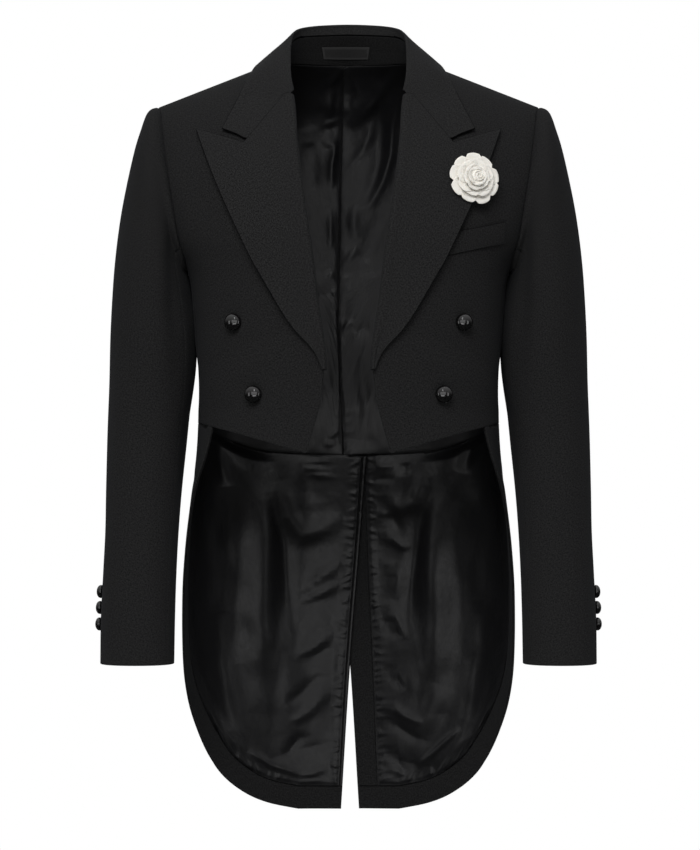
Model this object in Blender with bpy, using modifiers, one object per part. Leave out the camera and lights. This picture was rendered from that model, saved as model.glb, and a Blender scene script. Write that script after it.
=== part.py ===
"""An evening tailcoat, filled out as if worn with nobody in it.

Metres, +Z up. The coat faces -Y and the wearer's left is +X. The origin is the point between the
shoulders, level with the neck, where the wearer holds the coat up. Every piece that a maker would cut
is a thin wall of its own, a seam's gap away from its neighbours.

A point of the coat's outer surface is named by its place and its level. Place runs round the body: 0 is
the centre front, 1 the side and 2 the centre back. Level is the height, and above the armpit it is the
height at the armhole, because the rows there tilt until the last one lies along the shoulder seam.
"""

import math

import bmesh
import bpy
import numpy as np
from mathutils import Vector

# Thicknesses, and the gaps between layers and at seams.
CLOTH = 0.0018
SATIN = 0.0010
FACING = 0.0010
LAPEL = 0.0020
COLLAR = 0.0020
WELT_CLOTH = 0.0011
LABEL = 0.0008
LAYER_GAP = 0.0005
SEAM_GAP = 0.0006

ARMPIT = -0.235
SHOULDER = -0.050
SHOULDER_X = 0.2205
NECK_X = 0.080
NECK_Z = 0.006
SHOULDER_SLOPE = 0.397
NECK_SET_BACK = 0.016
SQUARENESS = 0.8
ARCH_POWER = 2.2
ARCH_ROOT = 0.556
HEM = -0.8765

# Small steps for reading a direction off a table or a surface.
NEAR = 0.01
TURN_STEP = 0.2


class Table:
    """A short table with named columns, read at any place along its first column."""

    def __init__(self, names, *rows):
        self.names = names.split()
        self.rows = np.array(sorted(rows), float)

    def __call__(self, name, at):
        place, value = self.rows[:, 0], self.rows[:, self.names.index(name)]
        slope = np.gradient(value, place)
        at = np.clip(at, place[0], place[-1])
        i = np.clip(np.searchsorted(place, at) - 1, 0, len(place) - 2)
        step = place[i + 1] - place[i]
        s = (at - place[i]) / step
        return (
            (1 + 2 * s) * (1 - s) ** 2 * value[i]
            + s * (1 - s) ** 2 * step * slope[i]
            + s * s * (3 - 2 * s) * value[i + 1]
            + s * s * (s - 1) * step * slope[i + 1]
        )

    def point(self, names, at):
        return np.stack([self(name, at) for name in names.split()], -1)


# The body's sections, from hem to shoulder.
FORM = Table(
    "level half_width centre_y front_depth back_depth",
    (-0.900, 0.1962, 0.012, 0.120, 0.112),
    (-0.750, 0.1962, 0.009, 0.120, 0.113),
    (-0.650, 0.1950, 0.005, 0.120, 0.113),
    (-0.600, 0.1930, 0.002, 0.121, 0.112),
    (-0.550, 0.1884, 0.000, 0.122, 0.108),
    (-0.500, 0.1822, -0.002, 0.124, 0.100),
    (-0.450, 0.1760, -0.004, 0.126, 0.091),
    (-0.400, 0.1738, -0.005, 0.127, 0.084),
    (-0.340, 0.1762, -0.006, 0.131, 0.087),
    (-0.290, 0.1797, -0.006, 0.134, 0.095),
    (-0.235, 0.1890, -0.006, 0.136, 0.104),
    (-0.207, 0.2060, -0.006, 0.136, 0.109),
    (-0.180, 0.2170, -0.005, 0.136, 0.113),
    (-0.140, 0.2290, -0.003, 0.136, 0.118),
    (-0.090, 0.2350, 0.000, 0.136, 0.120),
    (-0.050, 0.2360, 0.002, 0.136, 0.120),
)

# The armhole's edge by its angle: 0 at the shoulder, 90 at the front, 180 under the arm.
ARMHOLE_MIDDLE = -0.1475
ARMHOLE_HALF = 0.0975
ARMHOLE = Table(
    "angle place",
    (0, 0.741),
    (35, 0.706),
    (65, 0.682),
    (90, 0.677),
    (115, 0.720),
    (135, 0.785),
    (150, 0.857),
    (165, 0.930),
    (180, 1.000),
)
FRONT_SEAM_ANGLE = 150
BACK_SEAM_ANGLE = 255
SEAM_LEVEL = SHOULDER - 2e-6

# How many cells each panel has. Panels share their points along a seam, so some of these go together.
SIDE_ROWS = 7
SIDE_COLUMNS = 7
FRONT_COLUMNS = 10
FRONT_ROWS = 16
FRONT_ROWS_BELOW = SIDE_ROWS / FRONT_ROWS
BACK_COLUMNS = 6
BACK_ROWS = 14
BACK_ROWS_BELOW = SIDE_ROWS / BACK_ROWS
TAIL_COLUMNS = SIDE_COLUMNS + 2
SKIRT_ROWS = 11
LAPEL_CELLS = (8, 14)
COLLAR_COLUMNS = 8
SLEEVE_ROWS = 14
TOP_SLEEVE_COLUMNS = 12
UNDER_SLEEVE_COLUMNS = 10

# The front's free edge: the roll line down to the break, then the edge to the front's lowest point.
FRONT_EDGE = Table(
    "z x",
    (-0.4500, 0.0482),
    (-0.4200, 0.0388),
    (-0.3900, 0.0310),
    (-0.3590, 0.0276),
    (-0.3280, 0.0292),
    (-0.2772, 0.0368),
    (-0.2187, 0.0437),
    (-0.1570, 0.0531),
    (-0.0966, 0.0605),
    (-0.0432, 0.0650),
    (-0.0200, 0.0705),
    (0.0060, 0.0800),
)
BREAK_Z = -0.3565
GORGE_Z = -0.0432

# The waist seam and the front's hem, by place.
FRONT_HEM = Table(
    "place level",
    (0.127, -0.4500),
    (0.295, -0.4375),
    (0.487, -0.4268),
    (0.671, -0.4203),
    (0.860, -0.4160),
)
WAIST = Table(
    "place level",
    (0.600, -0.4225),
    (0.671, -0.4203),
    (0.860, -0.4160),
    (1.100, -0.4190),
    (1.400, -0.4340),
    (1.700, -0.4490),
    (2.000, -0.4535),
)
BACK_WAIST_LEVEL = -0.4520

# The tail's free edge, from the front corner at the waist round to the vent, and the facing inside it.
TAIL_EDGE = Table(
    "along place level facing",
    (0.00, 0.671, -0.4203, 0.012),
    (0.06, 0.733, -0.4507, 0.014),
    (0.16, 0.889, -0.5015, 0.017),
    (0.25, 0.975, -0.5450, 0.020),
    (0.35, 1.025, -0.6000, 0.022),
    (0.46, 1.070, -0.6600, 0.024),
    (0.56, 1.130, -0.7120, 0.025),
    (0.62, 1.200, -0.7430, 0.026),
    (0.68, 1.292, -0.7740, 0.027),
    (0.74, 1.385, -0.8040, 0.028),
    (0.80, 1.482, -0.8300, 0.028),
    (0.87, 1.610, -0.8530, 0.028),
    (0.94, 1.730, -0.8670, 0.028),
    (1.00, 1.852, -0.8750, 0.028),
)
TAIL_CORNER = 0.72
CORNER_STEP = 0.03
PLACE_LENGTH = 0.25

# Where the lines of the back run, as the distance from the centre. The wearer's right tail lies inside.
BACK_SEAM = Table(
    "level x",
    (-0.8765, 0.060),
    (-0.6500, 0.056),
    (-0.4535, 0.052),
    (-0.4000, 0.053),
    (-0.3500, 0.059),
    (-0.3000, 0.073),
    (-0.2500, 0.100),
    (-0.2100, 0.142),
    (-0.1727, 0.1997),
)
VENT = {
    1: Table(
        "level lining edge",
        (-0.8765, 0.0450, 0.0125),
        (-0.7030, 0.0400, 0.0018),
        (-0.5600, 0.0360, -0.0100),
        (-0.4535, 0.0335, -0.0180),
    ),
    -1: Table(
        "level lining edge",
        (-0.8765, 0.0255, 0.0090),
        (-0.7030, 0.0200, -0.0018),
        (-0.5600, 0.0110, -0.0135),
        (-0.4535, 0.0065, -0.0220),
    ),
}
LINING_COLUMN = {1: 2, -1: 5}
VENT_STEP = {1: 0.0018, -1: -0.0027}
VENT_TOP = -0.436
VENT_FULL = -0.4535
VENT_REACH = 0.050

# The lining's centre seam wanders off the centre, to the wearer's right.
LINING_SEAM = Table(
    "level x",
    (-0.4535, -0.0065),
    (-0.3000, -0.0124),
    (-0.1500, -0.0095),
    (-0.0500, -0.0053),
)

LAPEL_EDGE = Table(
    "along x z",
    (0.00, 0.0291, -0.3565),
    (0.07, 0.0370, -0.3375),
    (0.18, 0.0614, -0.3095),
    (0.36, 0.0900, -0.2637),
    (0.60, 0.1246, -0.1970),
    (0.82, 0.1530, -0.1345),
    (1.00, 0.1740, -0.0808),
)
LAPEL_LIFT = 0.0024
NOTCH = (0.1135, -0.0985)
NOTCH_SHARE = 0.44
# How the lapel starts: across and out from the front's edge, from behind it to over it.
LAPEL_ROLL = ((-0.0016, -0.0012), (-0.0022, 0.0012), (-0.0002, 0.0044))

# The collar from the gorge (0) to the centre back (1): neck seam, stand seam, fold and free edge.
# Where side is -1 the neck seam and free edge lie on the front, and where it is 1 on the back.
COLLAR_HALF = Table(
    "along neck_x neck_z side seam_x seam_y seam_z fold_x fold_y fold_z edge_x edge_z",
    (0.00, 0.0655, -0.0410, -1, 0.0665, -0.0755, -0.0388, 0.0640, -0.0830, -0.0388, 0.1437, -0.0838),
    (0.15, 0.0692, -0.0260, -1, 0.0688, -0.0560, -0.0200, 0.0668, -0.0640, -0.0190, 0.1290, -0.0530),
    (0.30, 0.0750, -0.0080, -1, 0.0700, -0.0290, 0.0010, 0.0678, -0.0370, 0.0050, 0.1150, -0.0240),
    (0.45, 0.0800, 0.0060, 1, 0.0700, -0.0040, 0.0170, 0.0672, -0.0080, 0.0250, 0.1035, -0.0035),
    (0.60, 0.0700, 0.0060, 1, 0.0660, 0.0190, 0.0280, 0.0640, 0.0190, 0.0385, 0.0930, -0.0060),
    (0.75, 0.0500, 0.0055, 1, 0.0545, 0.0400, 0.0350, 0.0525, 0.0420, 0.0465, 0.0700, -0.0080),
    (0.90, 0.0230, 0.0050, 1, 0.0275, 0.0530, 0.0380, 0.0270, 0.0550, 0.0505, 0.0350, -0.0095),
    (1.00, 0.0000, 0.0050, 1, 0.0000, 0.0560, 0.0390, 0.0000, 0.0580, 0.0515, 0.0000, -0.0100),
)
COLLAR_LIFT = 0.0032
COLLAR_BELLY = 0.003
COLLAR_CORNER_SHARE = 0.69
NOTCH_SAG = (-0.0063, -0.0265)
NOTCH_FADE = 0.30
FRONT_COLLAR_END = 0.40
FRONT_TURN = 0.45
FOLD_SHARES = (0.0, 0.65, 1.0)
STAND_START = 0.12
STAND_LIFT = 0.0016

# The back's neck seam: its distances from the centre, its height and its share of the back's top edge.
BACK_NECK_X = (0.080, 0.058, 0.036, 0.016, 0.0)
NECK_SEAM_Z = 0.0055
NECK_SHARE = 0.5

# The sleeve's sections, from the armhole to the cuff, by their outermost and innermost points.
SLEEVE = Table(
    "along outer_x outer_z inner_x inner_z depth centre_y",
    (0, 0.2205, -0.0510, 0.1900, -0.2450, 0.0690, -0.003),
    (1, 0.2330, -0.0580, 0.1925, -0.2460, 0.0715, -0.004),
    (2, 0.2410, -0.0780, 0.1915, -0.2490, 0.0738, -0.005),
    (3, 0.2485, -0.1020, 0.1898, -0.2540, 0.0750, -0.006),
    (4, 0.2570, -0.1400, 0.1875, -0.2630, 0.0755, -0.007),
    (5, 0.2645, -0.1830, 0.1845, -0.2760, 0.0755, -0.008),
    (6, 0.2710, -0.2380, 0.1812, -0.2960, 0.0745, -0.008),
    (7, 0.2755, -0.3050, 0.1779, -0.3280, 0.0720, -0.006),
    (8, 0.2785, -0.3700, 0.1798, -0.3720, 0.0690, -0.003),
    (9, 0.2803, -0.4300, 0.1865, -0.4300, 0.0660, 0.000),
    (10, 0.2813, -0.4900, 0.1928, -0.4900, 0.0625, -0.004),
    (11, 0.2815, -0.5400, 0.1966, -0.5400, 0.0590, -0.009),
    (12, 0.2836, -0.5900, 0.1990, -0.5900, 0.0550, -0.015),
    (13, 0.2858, -0.6400, 0.2003, -0.6400, 0.0510, -0.021),
    (14, 0.2862, -0.6930, 0.2010, -0.6930, 0.0480, -0.026),
)
SLEEVE_END = 14
SLEEVE_SQUARE = 0.92
ARMHOLE_STEP = (0.0008, 0.0030)
ARMHOLE_FADE = 3.0

# The sleeve's seams by their angles: 90 is the front and 180 the inside of the arm.
SLEEVE_SEAMS = Table(
    "along front hind",
    (0, 135, 285),
    (4, 140, 300),
    (8, 143, 318),
    (11, 144, 334),
    (14, 144, 344),
)

# The breast welt's lower and upper edges; its lower edge sits nearer the centre by the lean.
WELT = Table(
    "share x low_z high_z",
    (0.0, 0.1130, -0.2275, -0.2005),
    (0.5, 0.1460, -0.2195, -0.1940),
    (1.0, 0.1785, -0.2122, -0.1863),
)
WELT_LEAN = -0.0010

# The label's place on the inside of the stand: shares up it, and round it from the centre back.
LABEL_GAP = 0.0008
LABEL_UP = (0.20, 0.62)
LABEL_HALF = 0.135
LABEL_SHIFT = 0.015

# The buttons: their sizes, and their domes as shares of the radius.
FRONT_BUTTON = 0.0200
CUFF_BUTTON = 0.0155
BUTTON_LIFT = 0.0004
DOME_TURNS = (0, 28, 56, 78, 90)
DOME_RISE = 0.62
RIM_HEIGHT = 0.22
BACK_SHARE = 0.86
BUTTON_SIDES = 12
FRONT_BUTTONS = (("upper", 0.1296, -0.3015), ("lower", 0.1070, -0.3830))
CUFF_BUTTON_Z = (-0.6090, -0.6285, -0.6480)
CUFF_BUTTON_ANGLE = -5
SLEEVE_13_Z = -0.6400
SLEEVE_14_Z = -0.6930

# The flower's rings from its back to its bud, with how many petals each has and where they start.
FLOWER_RINGS = Table(
    "row radius height petals start",
    (0, 0.0200, 0.0000, 9, 0.0),
    (1, 0.0285, 0.0035, 9, 0.0),
    (2, 0.0290, 0.0055, 9, 0.0),
    (3, 0.0235, 0.0050, 9, 0.0),
    (4, 0.0225, 0.0090, 7, 1.2),
    (5, 0.0170, 0.0080, 7, 1.2),
    (6, 0.0155, 0.0120, 5, 0.5),
    (7, 0.0105, 0.0110, 5, 0.5),
    (8, 0.0090, 0.0150, 3, 2.0),
    (9, 0.0045, 0.0155, 3, 2.0),
)
FLOWER_SIDES = 36
FLOWER_X = 0.1418
FLOWER_Z = -0.1385
FLOWER_LIFT = 0.0006
FLOWER_SCALLOP = 0.10
PETAL_DIP = 0.15
BUD_DIP = 0.0015


def shoulder_z(x):
    return NECK_Z - SHOULDER_SLOPE * (np.abs(x) - NECK_X)


def form(place, level):
    """The outer surface on the wearer's left. Past place 2 it goes on over the centre back."""
    place, level = np.broadcast_arrays(np.asarray(place, float), np.asarray(level, float))
    rise = np.clip((level - ARMPIT) / (SHOULDER - ARMPIT), 0, 1)
    arch = (1 - rise**ARCH_POWER) ** ARCH_ROOT
    across, along = np.sin(place * np.pi / 2), np.cos(place * np.pi / 2)
    x = FORM("half_width", level) * np.sign(across) * np.abs(across) ** SQUARENESS
    depth = np.where(along > 0, -FORM("front_depth", level), FORM("back_depth", level))
    y = FORM("centre_y", level) + depth * arch * np.abs(along) ** SQUARENESS
    y = y + NECK_SET_BACK * rise**2 * (1 - np.abs(x) / SHOULDER_X)
    z = np.where(level > ARMPIT, ARMPIT + rise * (shoulder_z(x) - ARMPIT), level)
    return np.stack([x, y, z], -1)


def level_at(x, z):
    """The level of the surface's point that shows at x and z from the front or the back."""
    rise = (z - ARMPIT) / (shoulder_z(x) - ARMPIT)
    return np.where(z > ARMPIT, ARMPIT + rise * (SHOULDER - ARMPIT), z)


def place_at(x, level, side):
    """The place at a distance x from the centre, on the front (side -1) or the back (side 1)."""
    share = np.clip(np.abs(x) / FORM("half_width", level), 0, 1)
    place = np.arcsin(share ** (1 / SQUARENESS)) * 2 / np.pi * np.sign(x)
    return np.where(side < 0, place, 2 - place)


def spot(x, z, side):
    level = level_at(x, z)
    return place_at(x, level, side), level


def vent_step(hand):
    """The form of one side: below the waist one back laps over the other, so each steps aside."""

    def surface(place, level):
        points = form(place, level)
        down = np.clip((VENT_TOP - level) / (VENT_TOP - VENT_FULL), 0, 1)
        near = np.clip(1 - points[..., 0] / VENT_REACH, 0, 1) * (np.asarray(place) > 1)
        near = near * near * (3 - 2 * near)
        points[..., 1] += VENT_STEP[hand] * down * near
        return points

    return surface


def moved(surface, first, second, out):
    """Points of a surface moved out along its normals."""
    step = 1e-4
    here = surface(first, second)
    along = surface(first + step, second) - here
    up = here - surface(first, second - step)
    normal = np.cross(along, up)
    return here + np.asarray(out)[..., None] * normal / np.linalg.norm(normal, axis=-1, keepdims=True)


def armhole(angle):
    """Place and level of the armhole's edge. Angles past 180 lie on the back."""
    angle = np.asarray(angle, float)
    place = ARMHOLE("place", np.where(angle > 180, 360 - angle, angle))
    level = ARMHOLE_MIDDLE + ARMHOLE_HALF * np.cos(np.radians(angle))
    return np.stack([np.where(angle > 180, 2 - place, place), level], -1)


def patch(left, right, bottom, top, a, b):
    """Place and level inside four edges. a runs from left to right and b from bottom to top."""
    a, b = a[..., None], b[..., None]
    across = (1 - a) * left(b[..., 0]) + a * right(b[..., 0])
    upward = (1 - b) * bottom(a[..., 0]) + b * top(a[..., 0])
    zero, one = np.zeros(1), np.ones(1)
    corners = (1 - a) * (1 - b) * bottom(zero) + a * (1 - b) * bottom(one)
    corners = corners + (1 - a) * b * top(zero) + a * b * top(one)
    return across + upward - corners


def unit_grid(columns, rows):
    return np.meshgrid(np.linspace(0, 1, columns + 1), np.linspace(0, 1, rows + 1), indexing="ij")


def mesh_object(name, bm, material, collection):
    mesh = bpy.data.meshes.new(name)
    bm.to_mesh(mesh)
    bm.free()
    mesh.materials.append(material)
    thing = bpy.data.objects.new(name, mesh)
    collection.objects.link(thing)
    return thing


def draw_rim_in(bm, distance):
    """Moves each vertex of the free edge into the surface, so that neighbours stay a seam's gap apart."""
    moves = {}
    for edge in bm.edges:
        if not edge.is_boundary:
            continue
        face = edge.link_faces[0]
        inward = face.normal.cross(edge.verts[1].co - edge.verts[0].co).normalized()
        if inward.dot(face.calc_center_median() - edge.verts[0].co) < 0:
            inward.negate()
        for vert in edge.verts:
            moves.setdefault(vert, []).append(inward)
    for vert, sides in moves.items():
        total = sum(sides, Vector())
        vert.co += total * distance / max(1 + sides[0].dot(sides[-1]), 0.5)


def sheet(name, points, thickness, material, collection, hand=1, keep=None):
    """A wall around a grid of points on its middle surface. keep says which cells of the grid it has."""
    columns, rows = points.shape[0] - 1, points.shape[1] - 1
    bm = bmesh.new()
    bmesh.ops.create_grid(bm, x_segments=columns, y_segments=rows, size=1)
    cells = {}
    for vert in bm.verts:
        cells[vert] = (round((vert.co.x + 1) / 2 * columns), round((vert.co.y + 1) / 2 * rows))
    if keep:
        outside = [
            face
            for face in bm.faces
            if not keep(min(cells[v][0] for v in face.verts), min(cells[v][1] for v in face.verts))
        ]
        bmesh.ops.delete(bm, geom=outside, context="FACES")
    for vert in bm.verts:
        x, y, z = points[cells[vert]]
        vert.co = (hand * x, y, z)
    if hand > 0:
        bmesh.ops.reverse_faces(bm, faces=bm.faces)
    bm.normal_update()
    draw_rim_in(bm, SEAM_GAP / 2)
    thing = mesh_object(name, bm, material, collection)
    wall = thing.modifiers.new("wall", "SOLIDIFY")
    wall.thickness = thickness
    wall.offset = 0
    thing.data.shade_smooth()
    return thing


def along_table(table, name, at):
    """A straight-line reading of a table, for an edge that must pass through every row."""
    return np.interp(at, table.rows[:, 0], table.rows[:, table.names.index(name)])


def front_points(columns, rows, surface, out):
    """The front: hem to shoulder seam, free edge to side seam and armhole."""
    edge_places, edge_levels = spot(FRONT_EDGE.rows[:, 1], FRONT_EDGE.rows[:, 0], -1)
    corner_place, corner_level = armhole(FRONT_SEAM_ANGLE)

    def row_level(b, lowest):
        low = np.clip(b / FRONT_ROWS_BELOW, 0, 1)
        high = np.clip((b - FRONT_ROWS_BELOW) / (1 - FRONT_ROWS_BELOW), 0, 1)
        top = armhole(FRONT_SEAM_ANGLE * (1 - high))[..., 1]
        return np.where(b < FRONT_ROWS_BELOW, lowest + (corner_level - lowest) * low, top)

    def left(b):
        level = row_level(b, edge_levels[0])
        return np.stack([np.interp(level, edge_levels, edge_places), level], -1)

    def right(b):
        high = np.clip((b - FRONT_ROWS_BELOW) / (1 - FRONT_ROWS_BELOW), 0, 1)
        place = armhole(FRONT_SEAM_ANGLE * (1 - high))[..., 0]
        return np.stack([place, row_level(b, WAIST("level", corner_place))], -1)

    def bottom(a):
        place = edge_places[0] + (corner_place - edge_places[0]) * a
        return np.stack([place, FRONT_HEM("level", place)], -1)

    def top(a):
        place = edge_places[-1] + (ARMHOLE("place", 0) - edge_places[-1]) * a
        return np.stack([place, np.full_like(place, SHOULDER)], -1)

    a, b = unit_grid(columns, rows)
    where = patch(left, right, bottom, top, a, b)
    return moved(surface, where[..., 0], np.minimum(where[..., 1], SEAM_LEVEL), np.full(a.shape, out))


def back_seam_place(level):
    return place_at(BACK_SEAM("x", level), level, 1)


def side_body_points(columns, rows, surface, out):
    """The side body: waist seam to the bottom of the armhole, between the front and the back."""
    front_place, front_level = armhole(FRONT_SEAM_ANGLE)
    back_level = armhole(BACK_SEAM_ANGLE)[1]

    def left(b):
        low = WAIST("level", front_place)
        return np.stack([np.full_like(b, front_place), low + (front_level - low) * b], -1)

    def right(b):
        low = BACK_WAIST_LEVEL
        level = low + (back_level - low) * b
        return np.stack([back_seam_place(level), level], -1)

    def bottom(a):
        place = front_place + (back_seam_place(BACK_WAIST_LEVEL) - front_place) * a
        return np.stack([place, WAIST("level", place)], -1)

    def top(a):
        return armhole(FRONT_SEAM_ANGLE + (BACK_SEAM_ANGLE - FRONT_SEAM_ANGLE) * a)

    a, b = unit_grid(columns, rows)
    where = patch(left, right, bottom, top, a, b)
    return moved(surface, where[..., 0], where[..., 1], np.full(a.shape, out))


def back_places(columns, rows, centre=lambda level: np.zeros_like(level)):
    """Place and level of the back above the waist. centre gives how far the inner edge lies off the centre."""
    neck_places, neck_levels = spot(np.array(BACK_NECK_X), NECK_SEAM_Z, 1)
    shares = np.concatenate([[0], np.linspace(NECK_SHARE, 1, len(BACK_NECK_X))])
    top_places = np.concatenate([[2 - ARMHOLE("place", 0)], neck_places])
    top_levels = np.concatenate([[SHOULDER], neck_levels])

    def left(b):
        low = np.clip(b / BACK_ROWS_BELOW, 0, 1)
        high = np.clip((b - BACK_ROWS_BELOW) / (1 - BACK_ROWS_BELOW), 0, 1)
        edge = armhole(BACK_SEAM_ANGLE + (360 - BACK_SEAM_ANGLE) * high)
        level = np.where(high > 0, edge[..., 1], BACK_WAIST_LEVEL + (edge[..., 1] - BACK_WAIST_LEVEL) * low)
        return np.stack([np.where(high > 0, edge[..., 0], back_seam_place(level)), level], -1)

    def right(b):
        level = WAIST("level", 2) + (top_levels[-1] - WAIST("level", 2)) * b
        return np.stack([place_at(centre(level), level, 1), level], -1)

    def bottom(a):
        last = right(np.zeros(1))[0, 0]
        place = back_seam_place(BACK_WAIST_LEVEL) * (1 - a) + last * a
        return np.stack([place, WAIST("level", place)], -1)

    def top(a):
        last = right(np.ones(1))[0, 0]
        place = np.interp(a, shares, np.append(top_places[:-1], last))
        return np.stack([place, np.interp(a, shares, top_levels)], -1)

    a, b = unit_grid(columns, rows)
    where = patch(left, right, bottom, top, a, b)
    return np.stack([where[..., 0], np.minimum(where[..., 1], SEAM_LEVEL)], -1)


def tail_edge(along):
    return TAIL_EDGE.point("place level", along)


def facing_line(along):
    """The facing's inner edge, its width inside the tail's free edge."""
    ahead, behind = tail_edge(np.minimum(along + NEAR, 1)), tail_edge(np.maximum(along - NEAR, 0))
    run = (ahead - behind) * (PLACE_LENGTH, 1)
    run /= np.linalg.norm(run, axis=-1, keepdims=True)
    inward = np.stack([-run[..., 1] / PLACE_LENGTH, run[..., 0]], -1)
    return tail_edge(along) + inward * TAIL_EDGE("facing", along)[..., None]


def skirt_places(hand, tail_columns, back_columns, rows):
    """Place and level of one skirt, free front edge to vent, waist to hem, as columns by rows."""
    grid = np.zeros((tail_columns + back_columns + 1, rows + 1, 2))
    top_place = facing_line(np.zeros(1))[0, 0]
    seam_place = back_seam_place(BACK_WAIST_LEVEL)
    seam_low = facing_line(np.ones(1))[0, 1]

    def left(b):
        line = facing_line(TAIL_CORNER * b)
        line[..., 1] = np.where(b > 0, line[..., 1], WAIST("level", top_place))
        return line

    def right(b):
        level = BACK_WAIST_LEVEL + (seam_low - BACK_WAIST_LEVEL) * b
        return np.stack([back_seam_place(level), level], -1)

    def top(a):
        place = top_place + (seam_place - top_place) * a
        return np.stack([place, WAIST("level", place)], -1)

    def bottom(a):
        line = facing_line(TAIL_CORNER + (1 - TAIL_CORNER) * a)
        line[..., 0] += (back_seam_place(seam_low) - facing_line(np.ones(1))[0, 0]) * a
        return line

    front_place = armhole(FRONT_SEAM_ANGLE)[0]
    stops = np.append(top_place, np.linspace(front_place, seam_place, tail_columns - 1))
    shares = (stops - top_place) / (seam_place - top_place)
    a, b = np.meshgrid(shares, np.linspace(0, 1, rows), indexing="ij")
    grid[1 : tail_columns + 1, :rows] = patch(left, right, top, bottom, a, b)
    down = np.linspace(0, TAIL_CORNER - CORNER_STEP, rows)
    grid[0, :rows] = tail_edge(down)
    grid[0, rows] = tail_edge(np.array(TAIL_CORNER))
    hem_start = TAIL_CORNER + CORNER_STEP
    grid[1 : tail_columns + 1, rows] = tail_edge(hem_start + (1 - hem_start) * shares)
    grid[tail_columns, rows, 0] = back_seam_place(grid[tail_columns, rows, 1])

    lining_column = LINING_COLUMN[hand]
    columns = np.arange(back_columns + 1)
    for row in range(rows + 1):
        seam, level = grid[tail_columns, row]
        levels = level + vent_drop(level) * columns / back_columns
        stops = [BACK_SEAM("x", level), VENT[hand]("lining", level), VENT[hand]("edge", level)]
        x = np.interp(columns, [0, lining_column, back_columns], stops)
        places = place_at(x, levels, 1)
        if row == 0:
            places = seam + (2 - seam) * columns / back_columns
            levels = WAIST("level", places)
        grid[tail_columns:, row] = np.stack([places, levels], -1)
    return grid


def vent_drop(level):
    """How much lower a row of the skirt is at the vent than at the side-back seam."""
    return np.interp(level, [HEM, BACK_WAIST_LEVEL], [0.0, WAIST("level", 2) - BACK_WAIST_LEVEL])


def on_side(x, z, side, lift):
    """A point over the front (side -1) or the back (side 1), lifted off it."""
    place, level = spot(np.asarray(x, float), np.asarray(z, float), side)
    return moved(form, place, np.minimum(level, SEAM_LEVEL), np.broadcast_to(lift, np.shape(x)))


def lapel_points(columns, rows):
    """The lapel's middle surface: column 0 tucks in beside the front's edge and the next ones roll over it."""
    lift = LAPEL_LIFT + LAPEL / 2
    a = np.concatenate([[0, 0, 0], np.linspace(0, 1, columns - 1)[1:]])
    a[3:] = np.where(np.abs(a[3:] - NOTCH_SHARE) < 0.5 / (columns - 2), NOTCH_SHARE, a[3:])
    b = np.linspace(0, 1, rows + 1)
    grid = np.zeros((len(a), rows + 1, 3))
    edge_z = BREAK_Z + (GORGE_Z - BREAK_Z) * b
    for j, z in enumerate(edge_z):
        inner = np.array([along_table(FRONT_EDGE, "x", z), z])
        outer = LAPEL_EDGE.point("x z", b[j])
        sag = (NOTCH[1] - (GORGE_Z + (LAPEL_EDGE("z", 1) - GORGE_Z) * NOTCH_SHARE)) * b[j] ** 3
        for i, share in enumerate(a):
            x, y_z = inner * (1 - share) + outer * share
            tent = min(share / NOTCH_SHARE, (1 - share) / (1 - NOTCH_SHARE))
            dx, out = LAPEL_ROLL[i] if i < len(LAPEL_ROLL) else (0, lift)
            grid[i, j] = on_side(x + dx, y_z + sag * tent, -1, out)
    return grid


def collar_table():
    """The collar's lines all the way round: 0 is the wearer's left gorge, 1 the centre back, 2 the right."""
    names = "along neck_x neck_y neck_z seam_x seam_y seam_z fold_x fold_y fold_z edge_x edge_y edge_z"
    rows = []
    for along, neck_x, neck_z, side, *rest in COLLAR_HALF.rows:
        seam, fold, (edge_x, edge_z) = rest[0:3], rest[3:6], rest[6:8]
        neck = on_side(neck_x, neck_z, side, -CLOTH / 2)
        edge = on_side(edge_x, edge_z, side, COLLAR_LIFT)
        line = np.concatenate([neck, seam, fold, edge])
        rows.append((along, *line))
        if along < 1:
            rows.append((2 - along, *(line * np.tile([-1, 1, 1], 4))))
    return Table(names, *rows)


def collar_fall_points(table, along, columns):
    """The fall's middle surface: stand seam, up and over the fold, down to the free edge."""
    shares = np.concatenate([[0, 0, 0], np.linspace(0, 1, columns - 1)[1:]])
    shares[3:] = np.where(
        np.abs(shares[3:] - COLLAR_CORNER_SHARE) < 0.5 / (columns - 2), COLLAR_CORNER_SHARE, shares[3:]
    )
    grid = np.zeros((len(shares), len(along), 3))
    for j, at in enumerate(along):
        seam, fold, edge = (table.point(f"{name}_x {name}_y {name}_z", at) for name in ("seam", "fold", "edge"))
        hand = 1 if at < 1 else -1
        to_edge = edge - fold
        ahead, behind = (table.point("fold_x fold_y fold_z", at + step) for step in (2 * NEAR, -2 * NEAR))
        tangent = ahead - behind
        outward = np.cross(to_edge, tangent)
        outward /= np.linalg.norm(outward)
        for i, share in enumerate(shares):
            if i < len(FOLD_SHARES):
                point = seam + (fold - seam) * FOLD_SHARES[i]
            else:
                belly = COLLAR_BELLY * math.sin(math.pi * share)
                point = fold + to_edge * share + outward * belly
                end = max(0.0, 1 - min(at, 2 - at) / NOTCH_FADE) ** 1.5
                tent = min(share / COLLAR_CORNER_SHARE, (1 - share) / (1 - COLLAR_CORNER_SHARE))
                point += np.array([hand * NOTCH_SAG[0], 0, NOTCH_SAG[1]]) * tent * end
                if min(at, 2 - at) < FRONT_COLLAR_END:
                    under = on_side(abs(point[0]), point[2], -1, COLLAR_LIFT)
                    point[1] = min(point[1], under[1])
            grid[i, j] = point
    return grid


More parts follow.
